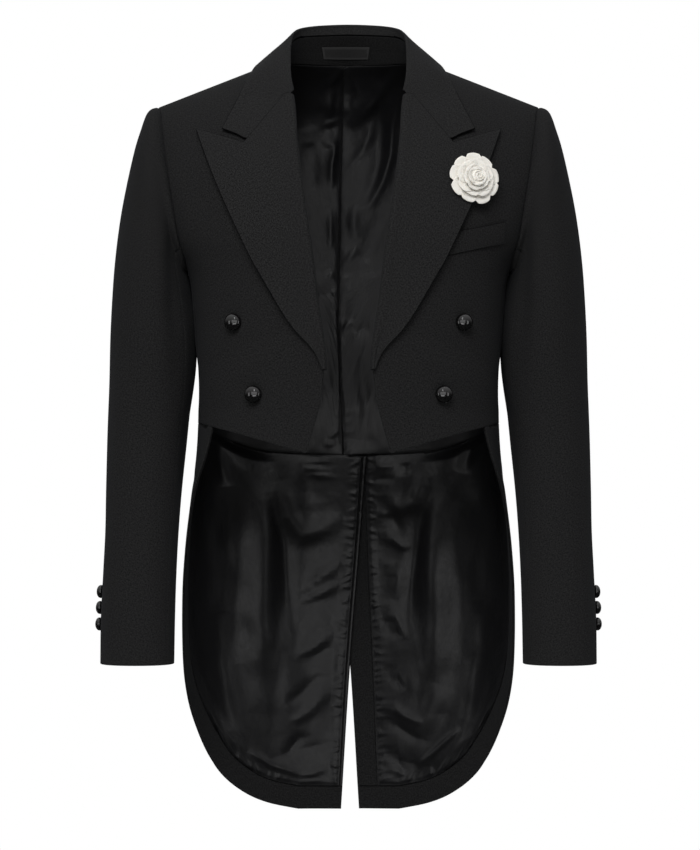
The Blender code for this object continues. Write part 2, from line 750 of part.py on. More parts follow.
def sleeve_oval(angle, along):
    """The sleeve's plain section: angle 0 is its outermost line, 90 the front, 180 the inside of the arm."""
    turn = np.radians(angle)
    cos, sin = np.cos(turn), np.sin(turn)
    outer, inner = SLEEVE.point("outer_x outer_z", along), SLEEVE.point("inner_x inner_z", along)
    wave = np.sign(cos) * np.abs(cos) ** SLEEVE_SQUARE
    flat = (outer + inner) / 2 + (outer - inner) / 2 * wave[..., None]
    y = SLEEVE("centre_y", along) - SLEEVE("depth", along) * np.sign(sin) * np.abs(sin) ** SLEEVE_SQUARE
    return np.stack([flat[..., 0], y, flat[..., 1]], -1)


def sleeve_surface(angle, along):
    """The sleeve starts along the armhole's edge and soon takes its plain section."""
    where = armhole(np.mod(angle, 360))
    edge = form(where[..., 0], np.minimum(where[..., 1], SEAM_LEVEL))
    edge[..., 0] += ARMHOLE_STEP[0] + ARMHOLE_STEP[1] * np.sin(np.radians(angle) / 2) ** 2
    share = np.clip(1 - along / ARMHOLE_FADE, 0, 1)[..., None] ** 2
    return sleeve_oval(angle, along) + (edge - sleeve_oval(angle, np.zeros_like(along))) * share


def sleeve_points(angle, along, out):
    round_step = sleeve_surface(angle + TURN_STEP, along) - sleeve_surface(angle - TURN_STEP, along)
    below, above = np.minimum(along + NEAR, SLEEVE_END), np.maximum(along - NEAR, 0)
    down_step = sleeve_surface(angle, below) - sleeve_surface(angle, above)
    normal = np.cross(round_step, down_step)
    normal /= np.linalg.norm(normal, axis=-1, keepdims=True)
    return sleeve_surface(angle, along) + out * normal


def turned(name, profile, steps, made_of, collection, place, axis):
    """A turned solid: the profile's radius and height pairs run down its outer side, about its own Z."""
    bm = bmesh.new()
    verts = [bm.verts.new((radius, 0, height)) for radius, height in profile]
    for one, other in zip(verts, verts[1:]):
        bm.edges.new((one, other))
    thing = mesh_object(name, bm, made_of, collection)
    screw = thing.modifiers.new("turn", "SCREW")
    screw.steps = screw.render_steps = steps
    screw.use_merge_vertices = True
    screw.merge_threshold = 0.00005
    thing.location = place
    thing.rotation_mode = "QUATERNION"
    thing.rotation_quaternion = Vector(axis).to_track_quat("Z", "Y")
    return thing


def button(name, diameter, place, axis, made_of, collection):
    """A shiny domed button with a rounded rim and a short flat back."""
    radius = diameter / 2
    turns = np.radians(DOME_TURNS)
    dome = [(radius * math.sin(turn), radius * (RIM_HEIGHT + DOME_RISE * math.cos(turn))) for turn in turns]
    profile = dome + [(radius * BACK_SHARE, 0.0), (0.0, 0.0)]
    return turned(name, profile, BUTTON_SIDES, made_of, collection, place, axis)


def outward_at(surface, first, second, out):
    """A point of a surface, moved out, and the direction it moved in."""
    near = moved(surface, np.array([first]), np.array([second]), np.array([out]))[0]
    far = moved(surface, np.array([first]), np.array([second]), np.array([out + NEAR]))[0]
    return near, (far - near) / NEAR


def flower(name, centre, axis, made_of, collection):
    """A layered cloth flower as one body: rings of petals that step up towards the bud."""
    bm = bmesh.new()
    rings = FLOWER_RINGS.rows
    bmesh.ops.create_uvsphere(bm, u_segments=FLOWER_SIDES, v_segments=len(rings) + 1, radius=1)
    heights = sorted({round(v.co.z, 5) for v in bm.verts})
    for vert in bm.verts:
        row = heights.index(round(vert.co.z, 5))
        turn = math.atan2(vert.co.y, vert.co.x)
        if row == 0:
            vert.co = (0, 0, 0)
        elif row == len(heights) - 1:
            vert.co = (0, 0, rings[-1][2] - BUD_DIP)
        else:
            _, radius, height, petals, start = rings[row - 1]
            wave = abs(math.cos((turn * petals + start) / 2))
            radius *= 1 - FLOWER_SCALLOP + FLOWER_SCALLOP * wave
            height *= 1 - PETAL_DIP + PETAL_DIP * wave
            vert.co = (radius * math.cos(turn), radius * math.sin(turn), height)
    thing = mesh_object(name, bm, made_of, collection)
    thing.location = centre
    thing.rotation_mode = "QUATERNION"
    thing.rotation_quaternion = Vector(axis).to_track_quat("Z", "Y")
    return thing


def material(name, colour, roughness, metallic=0.0):
    made = bpy.data.materials.new(name)
    made.use_nodes = True
    shader = made.node_tree.nodes["Principled BSDF"]
    shader.inputs["Base Color"].default_value = (*colour, 1)
    shader.inputs["Roughness"].default_value = roughness
    shader.inputs["Metallic"].default_value = metallic
    return made


def make_body(coat, wool, satin):
    """The fronts, side bodies, backs and tails, with the linings and facings that lie inside them."""
    inside = -(CLOTH + LAYER_GAP + SATIN / 2)
    facing_out = -(CLOTH + LAYER_GAP + FACING / 2)
    for hand, word in ((1, "left"), (-1, "right")):
        surface = vent_step(hand)
        front = front_points(FRONT_COLUMNS, FRONT_ROWS, surface, -CLOTH / 2)
        sheet(f"front_{word}", front, CLOTH, wool, coat, hand)
        side = side_body_points(SIDE_COLUMNS, SIDE_ROWS, surface, -CLOTH / 2)
        sheet(f"side_body_{word}", side, CLOTH, wool, coat, hand)

        upper = back_places(BACK_COLUMNS, BACK_ROWS)
        skirt = skirt_places(hand, TAIL_COLUMNS, BACK_COLUMNS, SKIRT_ROWS)
        whole = np.concatenate([skirt[TAIL_COLUMNS:, ::-1], upper[:, 1:]], axis=1)

        def lay(where, out):
            return moved(surface, where[..., 0], where[..., 1], np.full(where.shape[:2], out))

        sheet(f"back_{word}", lay(whole, -CLOTH / 2), CLOTH, wool, coat, hand)
        upright = skirt[:, ::-1]
        sheet(f"tail_{word}", lay(upright[: TAIL_COLUMNS + 1], -CLOTH / 2), CLOTH, wool, coat, hand)

        def on_facing(i, j):
            return i == 0 or j == 0

        sheet(f"tail_facing_{word}", lay(upright, facing_out), FACING, wool, coat, hand, on_facing)
        stop = TAIL_COLUMNS + LINING_COLUMN[hand]
        inner = upright[:, 1:]
        sheet(f"tail_lining_{word}", lay(inner[1 : stop + 1], inside), SATIN, satin, coat, hand)
        strip = lay(inner[stop:], inside)
        name, cloth = ("vent_facing_left", wool) if hand > 0 else ("vent_lining_right", satin)
        sheet(name, strip, SATIN, cloth, coat, hand)

        surface = vent_step(-1)
        seam = back_places(BACK_COLUMNS, BACK_ROWS, lambda level: hand * LINING_SEAM("x", level))
        sheet(f"back_lining_{word}", lay(seam, inside), SATIN, satin, coat, hand)


def make_collar(coat, wool):
    for hand, word in ((1, "left"), (-1, "right")):
        sheet(f"lapel_{word}", lapel_points(*LAPEL_CELLS), LAPEL, wool, coat, hand)
    table = collar_table()
    front, round_neck = np.linspace(0, FRONT_TURN, 8), np.linspace(FRONT_TURN, 2 - FRONT_TURN, 15)
    along = np.concatenate([front, round_neck[1:-1], 2 - front[::-1]])
    sheet("collar_fall", collar_fall_points(table, along, COLLAR_COLUMNS), COLLAR, wool, coat)
    along = np.linspace(STAND_START, 2 - STAND_START, 25)
    up = np.linspace(0, 1, 4)[:, None, None]
    neck, seam = table.point("neck_x neck_y neck_z", along), table.point("seam_x seam_y seam_z", along)
    stand = (neck + (0, 0, STAND_LIFT)) * (1 - up) + seam * up
    sheet("collar_stand", stand, CLOTH, wool, coat)


def make_sleeves(coat, wool):
    rows = np.linspace(0, SLEEVE_END, SLEEVE_ROWS + 1)
    for hand, word in ((1, "left"), (-1, "right")):
        front, hind = SLEEVE_SEAMS("front", rows), SLEEVE_SEAMS("hind", rows)
        for name, start, stop, columns in (
            ("top_sleeve", front, hind - 360, TOP_SLEEVE_COLUMNS),
            ("under_sleeve", hind, front, UNDER_SLEEVE_COLUMNS),
        ):
            share = np.linspace(0, 1, columns + 1)[:, None]
            angle = start + (stop - start) * share
            points = sleeve_points(angle, np.broadcast_to(rows, angle.shape), -CLOTH / 2)
            sheet(f"{name}_{word}", points, CLOTH, wool, coat, hand)


def make_welt(coat, wool):
    """The breast welt lies on the wearer's left front and runs on under the lapel."""
    a, b = unit_grid(5, 2)
    low, high = WELT.point("x low_z", a), WELT.point("x high_z", a)
    flat = (low + (WELT_LEAN, 0)) * (1 - b[..., None]) + high * b[..., None]
    points = on_side(flat[..., 0], flat[..., 1], -1, LAYER_GAP + WELT_CLOTH / 2)
    sheet("breast_welt", points, WELT_CLOTH, wool, coat)


def make_label(coat, dark):
    """A blank label on the inner face of the collar stand."""
    table = collar_table()
    along = 1 + np.linspace(-LABEL_HALF, LABEL_HALF, 5) + LABEL_SHIFT
    up = np.linspace(*LABEL_UP, 3)[:, None, None]
    neck, seam = table.point("neck_x neck_y neck_z", along), table.point("seam_x seam_y seam_z", along)
    points = neck * (1 - up) + seam * up
    points[..., 1] -= CLOTH / 2 + LABEL_GAP + LABEL / 2
    sheet("neck_label", points, LABEL, dark, coat)


def make_buttons(coat, gloss):
    for word, hand in (("left", 1), ("right", -1)):
        mirror = np.array([hand, 1, 1])
        for name, x, z in FRONT_BUTTONS:
            place, level = spot(x, z, -1)
            centre, axis = outward_at(form, float(place), float(level), BUTTON_LIFT)
            button(f"front_button_{word}_{name}", FRONT_BUTTON, centre * mirror, axis * mirror, gloss, coat)
        for number, z in enumerate(CUFF_BUTTON_Z, 1):
            along = 13 + (SLEEVE_13_Z - z) / (SLEEVE_13_Z - SLEEVE_14_Z)
            angle, row = np.array([CUFF_BUTTON_ANGLE]), np.array([along])
            near, far = (sleeve_points(angle, row, BUTTON_LIFT + out)[0] for out in (0, NEAR))
            axis = (far - near) * mirror
            button(f"cuff_button_{word}_{number}", CUFF_BUTTON, near * mirror, axis, gloss, coat)


def main():
    for thing in list(bpy.data.objects):
        bpy.data.objects.remove(thing)
    coat = bpy.data.collections.new("tailcoat")
    bpy.context.scene.collection.children.link(coat)
    wool = material("wool", (0.012, 0.012, 0.013), 0.85)
    satin = material("satin", (0.006, 0.006, 0.007), 0.35)
    gloss = material("button_black", (0.004, 0.004, 0.005), 0.08)
    ivory = material("flower_ivory", (0.80, 0.76, 0.68), 0.8)
    dark = material("label_black", (0.010, 0.010, 0.011), 0.5)
    make_body(coat, wool, satin)
    make_collar(coat, wool)
    make_sleeves(coat, wool)
    make_welt(coat, wool)
    make_label(coat, dark)
    make_buttons(coat, gloss)
    place, level = spot(FLOWER_X, FLOWER_Z, -1)
    centre, axis = outward_at(form, float(place), float(level), LAPEL_LIFT + LAPEL + FLOWER_LIFT)
    flower("lapel_flower", centre, axis, ivory, coat)


main()
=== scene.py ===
"""An evening tailcoat, filled out with nobody in it: fine cloth, folds, seams, buttons and a cloth flower.

Metres, in the frame of the solids. Every piece that a maker would cut is a thin wall on its solid's form,
with a rounded rim, so that neighbours meet in a fine groove, and with its own folds.
"""

import math

import bpy
import numpy as np
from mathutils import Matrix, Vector


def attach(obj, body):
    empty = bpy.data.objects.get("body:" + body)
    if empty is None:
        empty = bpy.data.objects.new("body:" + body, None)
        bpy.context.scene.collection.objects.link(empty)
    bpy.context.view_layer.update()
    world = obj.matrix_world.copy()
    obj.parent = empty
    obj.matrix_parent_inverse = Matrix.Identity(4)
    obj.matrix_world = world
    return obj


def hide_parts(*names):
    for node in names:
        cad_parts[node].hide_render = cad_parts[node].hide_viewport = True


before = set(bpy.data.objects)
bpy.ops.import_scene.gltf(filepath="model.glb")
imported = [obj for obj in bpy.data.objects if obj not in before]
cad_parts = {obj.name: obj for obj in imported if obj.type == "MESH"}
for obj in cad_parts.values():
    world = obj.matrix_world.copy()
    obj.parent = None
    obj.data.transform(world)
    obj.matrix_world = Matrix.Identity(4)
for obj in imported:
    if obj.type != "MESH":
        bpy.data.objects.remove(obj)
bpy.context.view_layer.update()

SIDES = ((1, "left"), (-1, "right"))

# The thickness of each cloth, and the gap between two layers.
CLOTH = 0.0018
SATIN = 0.0010
FACING = 0.0010
LAPEL = 0.0020
COLLAR = 0.0020
WELT_CLOTH = 0.0011
LABEL = 0.0008
LAYER_GAP = 0.0005

# The body's levels, its shoulder line, and how square its sections are.
ARMPIT = -0.235
SHOULDER = -0.050
SHOULDER_X = 0.2205
NECK_X = 0.080
NECK_Z = 0.006
SHOULDER_SLOPE = 0.397
NECK_SET_BACK = 0.016
SQUARENESS = 0.8
ARCH_POWER = 2.2
ARCH_ROOT = 0.556
HEM = -0.8765

# Small steps for reading a direction off a table or a surface.
NEAR = 0.01
TURN_STEP = 0.2


def hermite(s, low, high, low_slope, high_slope):
    """A smooth curve between two values with a slope at each, at the share s of the way."""
    return (
        (1 + 2 * s) * (1 - s) ** 2 * low
        + s * (1 - s) ** 2 * low_slope
        + s * s * (3 - 2 * s) * high
        + s * s * (s - 1) * high_slope
    )


class Table:
    """A short table with named columns, read at any place along its first column."""

    def __init__(self, names, *rows):
        self.names = names.split()
        self.rows = np.array(sorted(rows), float)

    def __call__(self, name, at):
        place, value = self.rows[:, 0], self.rows[:, self.names.index(name)]
        slope = np.gradient(value, place)
        at = np.clip(at, place[0], place[-1])
        i = np.clip(np.searchsorted(place, at) - 1, 0, len(place) - 2)
        step = place[i + 1] - place[i]
        s = (at - place[i]) / step
        return hermite(s, value[i], value[i + 1], step * slope[i], step * slope[i + 1])

    def point(self, names, at):
        return np.stack([self(name, at) for name in names.split()], -1)


# The body's sections, from hem to shoulder.
FORM = Table(
    "level half_width centre_y front_depth back_depth",
    (-0.900, 0.1962, 0.012, 0.120, 0.112),
    (-0.750, 0.1962, 0.009, 0.120, 0.113),
    (-0.650, 0.1950, 0.005, 0.120, 0.113),
    (-0.600, 0.1930, 0.002, 0.121, 0.112),
    (-0.550, 0.1884, 0.000, 0.122, 0.108),
    (-0.500, 0.1822, -0.002, 0.124, 0.100),
    (-0.450, 0.1760, -0.004, 0.126, 0.091),
    (-0.400, 0.1738, -0.005, 0.127, 0.084),
    (-0.340, 0.1762, -0.006, 0.131, 0.087),
    (-0.290, 0.1797, -0.006, 0.134, 0.095),
    (-0.235, 0.1890, -0.006, 0.136, 0.104),
    (-0.207, 0.2060, -0.006, 0.136, 0.109),
    (-0.180, 0.2170, -0.005, 0.136, 0.113),
    (-0.140, 0.2290, -0.003, 0.136, 0.118),
    (-0.090, 0.2350, 0.000, 0.136, 0.120),
    (-0.050, 0.2360, 0.002, 0.136, 0.120),
)

# The armhole's edge by its angle: 0 at the shoulder, 90 at the front, 180 under the arm.
ARMHOLE_MIDDLE = -0.1475
ARMHOLE_HALF = 0.0975
ARMHOLE = Table(
    "angle place",
    (0, 0.741),
    (35, 0.706),
    (65, 0.682),
    (90, 0.677),
    (115, 0.720),
    (135, 0.785),
    (150, 0.857),
    (165, 0.930),
    (180, 1.000),
)
FRONT_SEAM_ANGLE = 150
BACK_SEAM_ANGLE = 255
SEAM_LEVEL = SHOULDER - 2e-6

# How many coarse cells each panel has. Panels share their points along a seam, so some of these go together.
SIDE_ROWS = 7
SIDE_COLUMNS = 7
FRONT_ROWS = 16
FRONT_ROWS_BELOW = SIDE_ROWS / FRONT_ROWS
BACK_ROWS = 14
BACK_ROWS_BELOW = SIDE_ROWS / BACK_ROWS
TAIL_COLUMNS = SIDE_COLUMNS + 2
SKIRT_ROWS = 11
COLLAR_COLUMNS = 8
SLEEVE_ROWS = 14
# How finely the walls are cut, as columns and rows. A skirt has the tail's columns, the back's, and its rows.
FRONT_CELLS = (44, FRONT_ROWS * 8)
SIDE_CELLS = (SIDE_COLUMNS * 4, SIDE_ROWS * 9)
BACK_CELLS = (36, BACK_ROWS * 8)
SKIRT_CELLS = (TAIL_COLUMNS * 4, 36, SKIRT_ROWS * 8)
TAIL_LINING_CELLS = (TAIL_COLUMNS * 8, 36, SKIRT_ROWS * 24)
LINING_COLUMN_CELLS = 6
BACK_LINING_CELLS = (78, BACK_ROWS * 13)
LAPEL_CELLS = (40, 110)
COLLAR_POINTS = (50, 90)
FALL_CUTS = 5
STAND_POINTS = (16, 150)
SLEEVE_COLUMNS = {"top_sleeve": 64, "under_sleeve": 44}
SLEEVE_CUTS = 11
WELT_CELLS = (30, 12)
LABEL_POINTS = (41, 13)

# The front's free edge: the roll line down to the break, then the edge to the front's lowest point.
FRONT_EDGE = Table(
    "z x",
    (-0.4500, 0.0482),
    (-0.4200, 0.0388),
    (-0.3900, 0.0310),
    (-0.3590, 0.0276),
    (-0.3280, 0.0292),
    (-0.2772, 0.0368),
    (-0.2187, 0.0437),
    (-0.1570, 0.0531),
    (-0.0966, 0.0605),
    (-0.0432, 0.0650),
    (-0.0200, 0.0705),
    (0.0060, 0.0800),
)
BREAK_Z = -0.3565
GORGE_Z = -0.0432

# The waist seam and the front's hem, by place.
FRONT_HEM = Table(
    "place level",
    (0.127, -0.4500),
    (0.295, -0.4375),
    (0.487, -0.4268),
    (0.671, -0.4203),
    (0.860, -0.4160),
)
WAIST = Table(
    "place level",
    (0.600, -0.4225),
    (0.671, -0.4203),
    (0.860, -0.4160),
    (1.100, -0.4190),
    (1.400, -0.4340),
    (1.700, -0.4490),
    (2.000, -0.4535),
)
BACK_WAIST_LEVEL = -0.4520

# The tail's free edge, from the front corner at the waist round to the vent, and the facing inside it.
TAIL_EDGE = Table(
    "along place level facing",
    (0.00, 0.671, -0.4203, 0.012),
    (0.06, 0.733, -0.4507, 0.014),
    (0.16, 0.889, -0.5015, 0.017),
    (0.25, 0.975, -0.5450, 0.020),
    (0.35, 1.025, -0.6000, 0.022),
    (0.46, 1.070, -0.6600, 0.024),
    (0.56, 1.130, -0.7120, 0.025),
    (0.62, 1.200, -0.7430, 0.026),
    (0.68, 1.292, -0.7740, 0.027),
    (0.74, 1.385, -0.8040, 0.028),
    (0.80, 1.482, -0.8300, 0.028),
    (0.87, 1.610, -0.8530, 0.028),
    (0.94, 1.730, -0.8670, 0.028),
    (1.00, 1.852, -0.8750, 0.028),
)
TAIL_CORNER = 0.72
CORNER_STEP = 0.03
PLACE_LENGTH = 0.25

# Where the lines of the back run, as the distance from the centre. The wearer's right tail lies inside.
BACK_SEAM = Table(
    "level x",
    (-0.8765, 0.060),
    (-0.6500, 0.056),
    (-0.4535, 0.052),
    (-0.4000, 0.053),
    (-0.3500, 0.059),
    (-0.3000, 0.073),
    (-0.2500, 0.100),
    (-0.2100, 0.142),
    (-0.1727, 0.1997),
)
VENT = {
    1: Table(
        "level lining edge",
        (-0.8765, 0.0450, 0.0125),
        (-0.7030, 0.0400, 0.0018),
        (-0.5600, 0.0360, -0.0100),
        (-0.4535, 0.0335, -0.0180),
    ),
    -1: Table(
        "level lining edge",
        (-0.8765, 0.0255, 0.0090),
        (-0.7030, 0.0200, -0.0018),
        (-0.5600, 0.0110, -0.0135),
        (-0.4535, 0.0065, -0.0220),
    ),
}
# How far the lining's line is from the back's seam, in columns, and how the vent's two sides part.
LINING_COLUMN = {1: 2, -1: 5}
VENT_STEP = {1: 0.0018, -1: -0.0027}
VENT_TOP = -0.436
VENT_FULL = -0.4535
VENT_REACH = 0.050

# The lining's centre seam wanders off the centre, to the wearer's right.
LINING_SEAM = Table(
    "level x",
    (-0.4535, -0.0065),
    (-0.3000, -0.0124),
    (-0.1500, -0.0095),
    (-0.0500, -0.0053),
)

LAPEL_EDGE = Table(
    "along x z",
    (0.00, 0.0291, -0.3565),
    (0.07, 0.0370, -0.3375),
    (0.18, 0.0614, -0.3095),
    (0.36, 0.0900, -0.2637),
    (0.60, 0.1246, -0.1970),
    (0.82, 0.1530, -0.1345),
    (1.00, 0.1740, -0.0808),
)
LAPEL_LIFT = 0.0024
NOTCH = (0.1135, -0.0985)
NOTCH_SHARE = 0.44

# The lapel's roll as steps across and out from the front's edge, the width over which it opens, how much the
# lapel bellies and stands off at its free edge, and how far its end reaches up to the collar.
LAPEL_TURN = ((-0.0016, -0.0012), (-0.0022, 0.0012), (-0.0002, 0.0040), (0.0040, 0.0044), (0.0085, 0.0036))
LAPEL_TURN_CELLS = 3
LAPEL_ROOM = 0.030
LAPEL_BELLY = 0.0010
LAPEL_STAND = 0.0045
ROLL_CLOSE = 0.0012

# The collar from the gorge (0) to the centre back (1): neck seam, stand seam, fold and free edge.
# Where side is -1 the neck seam and free edge lie on the front, and where it is 1 on the back.
COLLAR_HALF = Table(
    "along neck_x neck_z side seam_x seam_y seam_z fold_x fold_y fold_z edge_x edge_z",
    (0.00, 0.0655, -0.0410, -1, 0.0650, -0.0755, -0.0388, 0.0630, -0.0802, -0.0388, 0.1437, -0.0838),
    (0.15, 0.0692, -0.0260, -1, 0.0688, -0.0560, -0.0200, 0.0668, -0.0640, -0.0190, 0.1290, -0.0530),
    (0.30, 0.0750, -0.0080, -1, 0.0700, -0.0290, 0.0010, 0.0678, -0.0370, 0.0050, 0.1150, -0.0240),
    (0.45, 0.0800, 0.0060, 1, 0.0700, -0.0040, 0.0170, 0.0672, -0.0080, 0.0250, 0.1035, -0.0035),
    (0.60, 0.0700, 0.0060, 1, 0.0660, 0.0190, 0.0280, 0.0640, 0.0190, 0.0385, 0.0930, -0.0060),
    (0.75, 0.0500, 0.0055, 1, 0.0545, 0.0400, 0.0350, 0.0525, 0.0420, 0.0465, 0.0700, -0.0080),
    (0.90, 0.0230, 0.0050, 1, 0.0275, 0.0530, 0.0380, 0.0270, 0.0550, 0.0505, 0.0350, -0.0095),
    (1.00, 0.0000, 0.0050, 1, 0.0000, 0.0560, 0.0390, 0.0000, 0.0580, 0.0515, 0.0000, -0.0100),
)
COLLAR_LINE = "{0}_x {0}_y {0}_z"
COLLAR_LIFT = 0.0032
COLLAR_BELLY = 0.003
# The fall's corner at the notch, how far it sags there and how soon that fades, and where the collar lies in
# front, turns, and starts its stand.
COLLAR_CORNER_SHARE = 0.69
NOTCH_SAG = (-0.0063, -0.0265)
NOTCH_FADE = 0.30
FRONT_COLLAR_END = 0.40
FRONT_TURN = 0.45
FOLD_SHARES = (0.0, 0.65, 1.0)
STAND_START = 0.12
STAND_LIFT = 0.0016
# The fall's free edge stands off the cloth below. The stand's low edge drops by these heights along the
# collar, and leans in as it drops. A stitched line runs along its inside.
COLLAR_STAND_OFF = 0.0016
STAND_DROP = ((0.12, 0), (0.39, 0), (0.44, 0.0044), (0.52, 0.0038), (0.7, 0.0024), (1, 0.0014))
STAND_LEAN = 0.35
STITCH_UP = 0.47
STITCH_HALF = 0.04
STITCH_DEEP = 0.0004

# The back's neck seam: its distances from the centre, its height and its share of the back's top edge.
BACK_NECK_X = (0.080, 0.058, 0.036, 0.016, 0.0)
NECK_SEAM_Z = 0.0055
NECK_SHARE = 0.5

# The sleeve's sections, from the armhole to the cuff, by their outermost and innermost points.
SLEEVE = Table(
    "along outer_x outer_z inner_x inner_z depth centre_y",
    (0, 0.2205, -0.0510, 0.1900, -0.2450, 0.0690, -0.003),
    (1, 0.2330, -0.0580, 0.1925, -0.2460, 0.0715, -0.004),
    (2, 0.2410, -0.0780, 0.1915, -0.2490, 0.0738, -0.005),
    (3, 0.2485, -0.1020, 0.1898, -0.2540, 0.0750, -0.006),
    (4, 0.2570, -0.1400, 0.1875, -0.2630, 0.0755, -0.007),
    (5, 0.2645, -0.1830, 0.1845, -0.2760, 0.0755, -0.008),
    (6, 0.2710, -0.2380, 0.1812, -0.2960, 0.0745, -0.008),
    (7, 0.2755, -0.3050, 0.1779, -0.3280, 0.0720, -0.006),
    (8, 0.2785, -0.3700, 0.1798, -0.3720, 0.0690, -0.003),
    (9, 0.2803, -0.4300, 0.1865, -0.4300, 0.0660, 0.000),
    (10, 0.2813, -0.4900, 0.1928, -0.4900, 0.0625, -0.004),
    (11, 0.2815, -0.5400, 0.1966, -0.5400, 0.0590, -0.009),
    (12, 0.2836, -0.5900, 0.1990, -0.5900, 0.0550, -0.015),
    (13, 0.2858, -0.6400, 0.2003, -0.6400, 0.0510, -0.021),
    (14, 0.2862, -0.6930, 0.2010, -0.6930, 0.0480, -0.026),
)
SLEEVE_END = 14
SLEEVE_SQUARE = 0.92
ARMHOLE_STEP = (0.0008, 0.0006)
ARMHOLE_FADE = 3.0

# The sleeve's head: a raised rope of cloth beyond the seam and a ditch at it, and how far it is tucked in
# under the body. Places and widths are in sections along the sleeve.
ROPING = 0.0014
ROPING_AT = 0.45
ROPING_WIDE = 0.5
DITCH = 0.0016
DITCH_WIDE = 0.10
TUCK_DEEP = 0.0040
TUCK_IN = 0.0030
# Where the sleeve wraps round the side of the body and turns in before it, by angle, and the share of it by
# section.
WRAP = 0.0075
WRAP_ANGLE = 180
WRAP_WIDE = 34
TURN_IN = 0.0045
TURN_ANGLE = 128
TURN_WIDE = 16
PRESSED = ((0.1, 0), (1.0, 1), (6.4, 1), (8.6, 0))

# The sleeve's seams by their angles: 90 is the front and 180 the inside of the arm.
SLEEVE_SEAMS = Table(
    "along front hind",
    (0, 135, 285),
    (4, 140, 300),
    (8, 143, 318),
    (11, 144, 334),
    (14, 144, 344),
)

# The breast welt's lower and upper edges; its lower edge sits nearer the centre by the lean.
WELT = Table(
    "share x low_z high_z",
    (0.0, 0.1130, -0.2275, -0.2005),
    (0.5, 0.1460, -0.2195, -0.1940),
    (1.0, 0.1785, -0.2122, -0.1863),
)
WELT_LEAN = -0.0010

# The label's place on the inside of the stand: shares up it, and round it from the centre back.
LABEL_GAP = 0.0008
LABEL_UP = (0.20, 0.62)
LABEL_HALF = 0.1107
LABEL_SHIFT = 0.015
LABEL_BORDER = 0.0022

# The buttons: their sizes, and their domes and rims as shares of the radius. The front ones stand on a shank
# and turn to the front.
FRONT_BUTTON = 0.0200
CUFF_BUTTON = 0.0155
BUTTON_LIFT = 0.0004
SHANK = 0.0012
BUTTON_TURN = 1.4
BUTTON_SIDES = 56
DOME_SHARE = 0.985
DOME_RISE = 0.62
DOME_STEPS = 19
RIM_HEIGHT = 0.22
BUTTON_RIM = ((0.985, 0.20), (1.0, 0.14), (0.985, 0.08), (0.94, 0.04), (0.86, 0.0))
FRONT_BUTTONS = (("upper", 0.1296, -0.3015), ("lower", 0.1070, -0.3830))
CUFF_BUTTON_Z = (-0.6090, -0.6285, -0.6480)
CUFF_BUTTON_ANGLE = -5
SLEEVE_13_Z = -0.6400
SLEEVE_14_Z = -0.6930

# The flower's place on the lapel, how far it sits from its solid's middle, and its size beside it.
FLOWER_X = 0.1418
FLOWER_Z = -0.1385
FLOWER_LIFT = 0.0006
FLOWER_SHIFT = (-0.0029, -0.0036)
FLOWER_GROW = 1.05

# Petals: how many, first turn, root, reach, half-width, root and tip heights, cup and rise.
PETAL_RINGS = (
    (9, 8, 0.004, 0.0285, 0.0122, 0.0012, 0.0052, 0.0012, 1.2),
    (8, 26, 0.004, 0.0215, 0.0110, 0.0040, 0.0088, 0.0016, 1.0),
    (6, 5, 0.003, 0.0150, 0.0092, 0.0065, 0.0122, 0.0022, 0.9),
    (5, 40, 0.002, 0.0105, 0.0076, 0.0085, 0.0146, 0.0026, 0.8),
)
PETAL_SEED = 60
PETAL_CELLS = 12
PETAL_CLOTH = 0.0006
# A petal's outline runs along a sine from its root, it bends in beside its middle, ripples, and rolls back
# over its last share.
PETAL_OUTLINE = (0.22, 0.62)
PETAL_BEND = 0.20
PETAL_RIPPLE = 0.0006
PETAL_ROLL = 0.0012
PETAL_ROLL_FROM = 0.8

# The bud: a strip wound in turns round a low core.
BUD_TURNS = 2.3
BUD_POINTS = (96, 9)
BUD_START = 0.12
BUD_FLARE = 0.10
BUD_FALL = 0.0022
BUD_RIPPLE = 0.0004
BUD_RIPPLES = 2.3
BUD_RADIUS = 0.0068
BUD_TOP = 0.0164
BUD_LOW = 0.0080
BUD_SET = (0.0015, 0.001)
CORE_POINTS = (40, 8)
CORE_HOLE = 0.0003
CORE_DEEP = 0.0020
CORE_CROWN = 50

# How far two rims keep from each other at a seam: below 0 they lap a little, so that no light shows between.
SEAM_LINE = -0.00004
LINING_SEAM_LINE = 0.0009
COLLAR_SEAM_LINE = 0.0009
# The turns of a wall's half-round rim, and the least spread of a corner's two sides.
RIM_TURNS = (math.pi / 4, 0.0, -math.pi / 4)
CORNER_SPREAD = 0.6

# How folds are shaped: those up to the small width have a sharper crest.
SMALL_FOLD = 9.5
FOLD_CREST = (1.5, 2.0)
FOLD_DROP = 1.8
FOLD_TAPER = 0.8
# The folds of back and tails fade out at the waist seam, and those of the panels at their edges.
WAIST_Z = -0.4535
WAIST_FADE = 0.05
FRONT_FADE = 0.030
SIDE_FADE = 0.022
NECK_FADE = 0.012
SLEEVE_FADE = 0.014

# The front's own cloth goes round inside its free edge this far, and the sleeve's inside its cuff. The tail's
# facing is this many cells wide, and is laid straight with some room.
FRONT_FACING = 0.080
CUFF_CELLS = 10
HEM_CELLS = 7
STRIP_ROOM = 1.2

# The satin swells between its seams, stays off the wool behind it, and has a fine unevenness by cells.
PILLOW = 0.0022
BACK_PILLOW = 0.0012
PILLOW_FADE = 0.030
SOFT_FLOOR = 0.0010
TAIL_SATIN_FADE = 0.014
BACK_SATIN_FADE = 0.012
STRIP_FADE = 0.008
SEAM_FADE = 0.006
STITCH_FADE = 0.004
TAIL_WAVE = (0.0007, (9, 16))
BACK_WAVE = (0.0003, (4, 10))
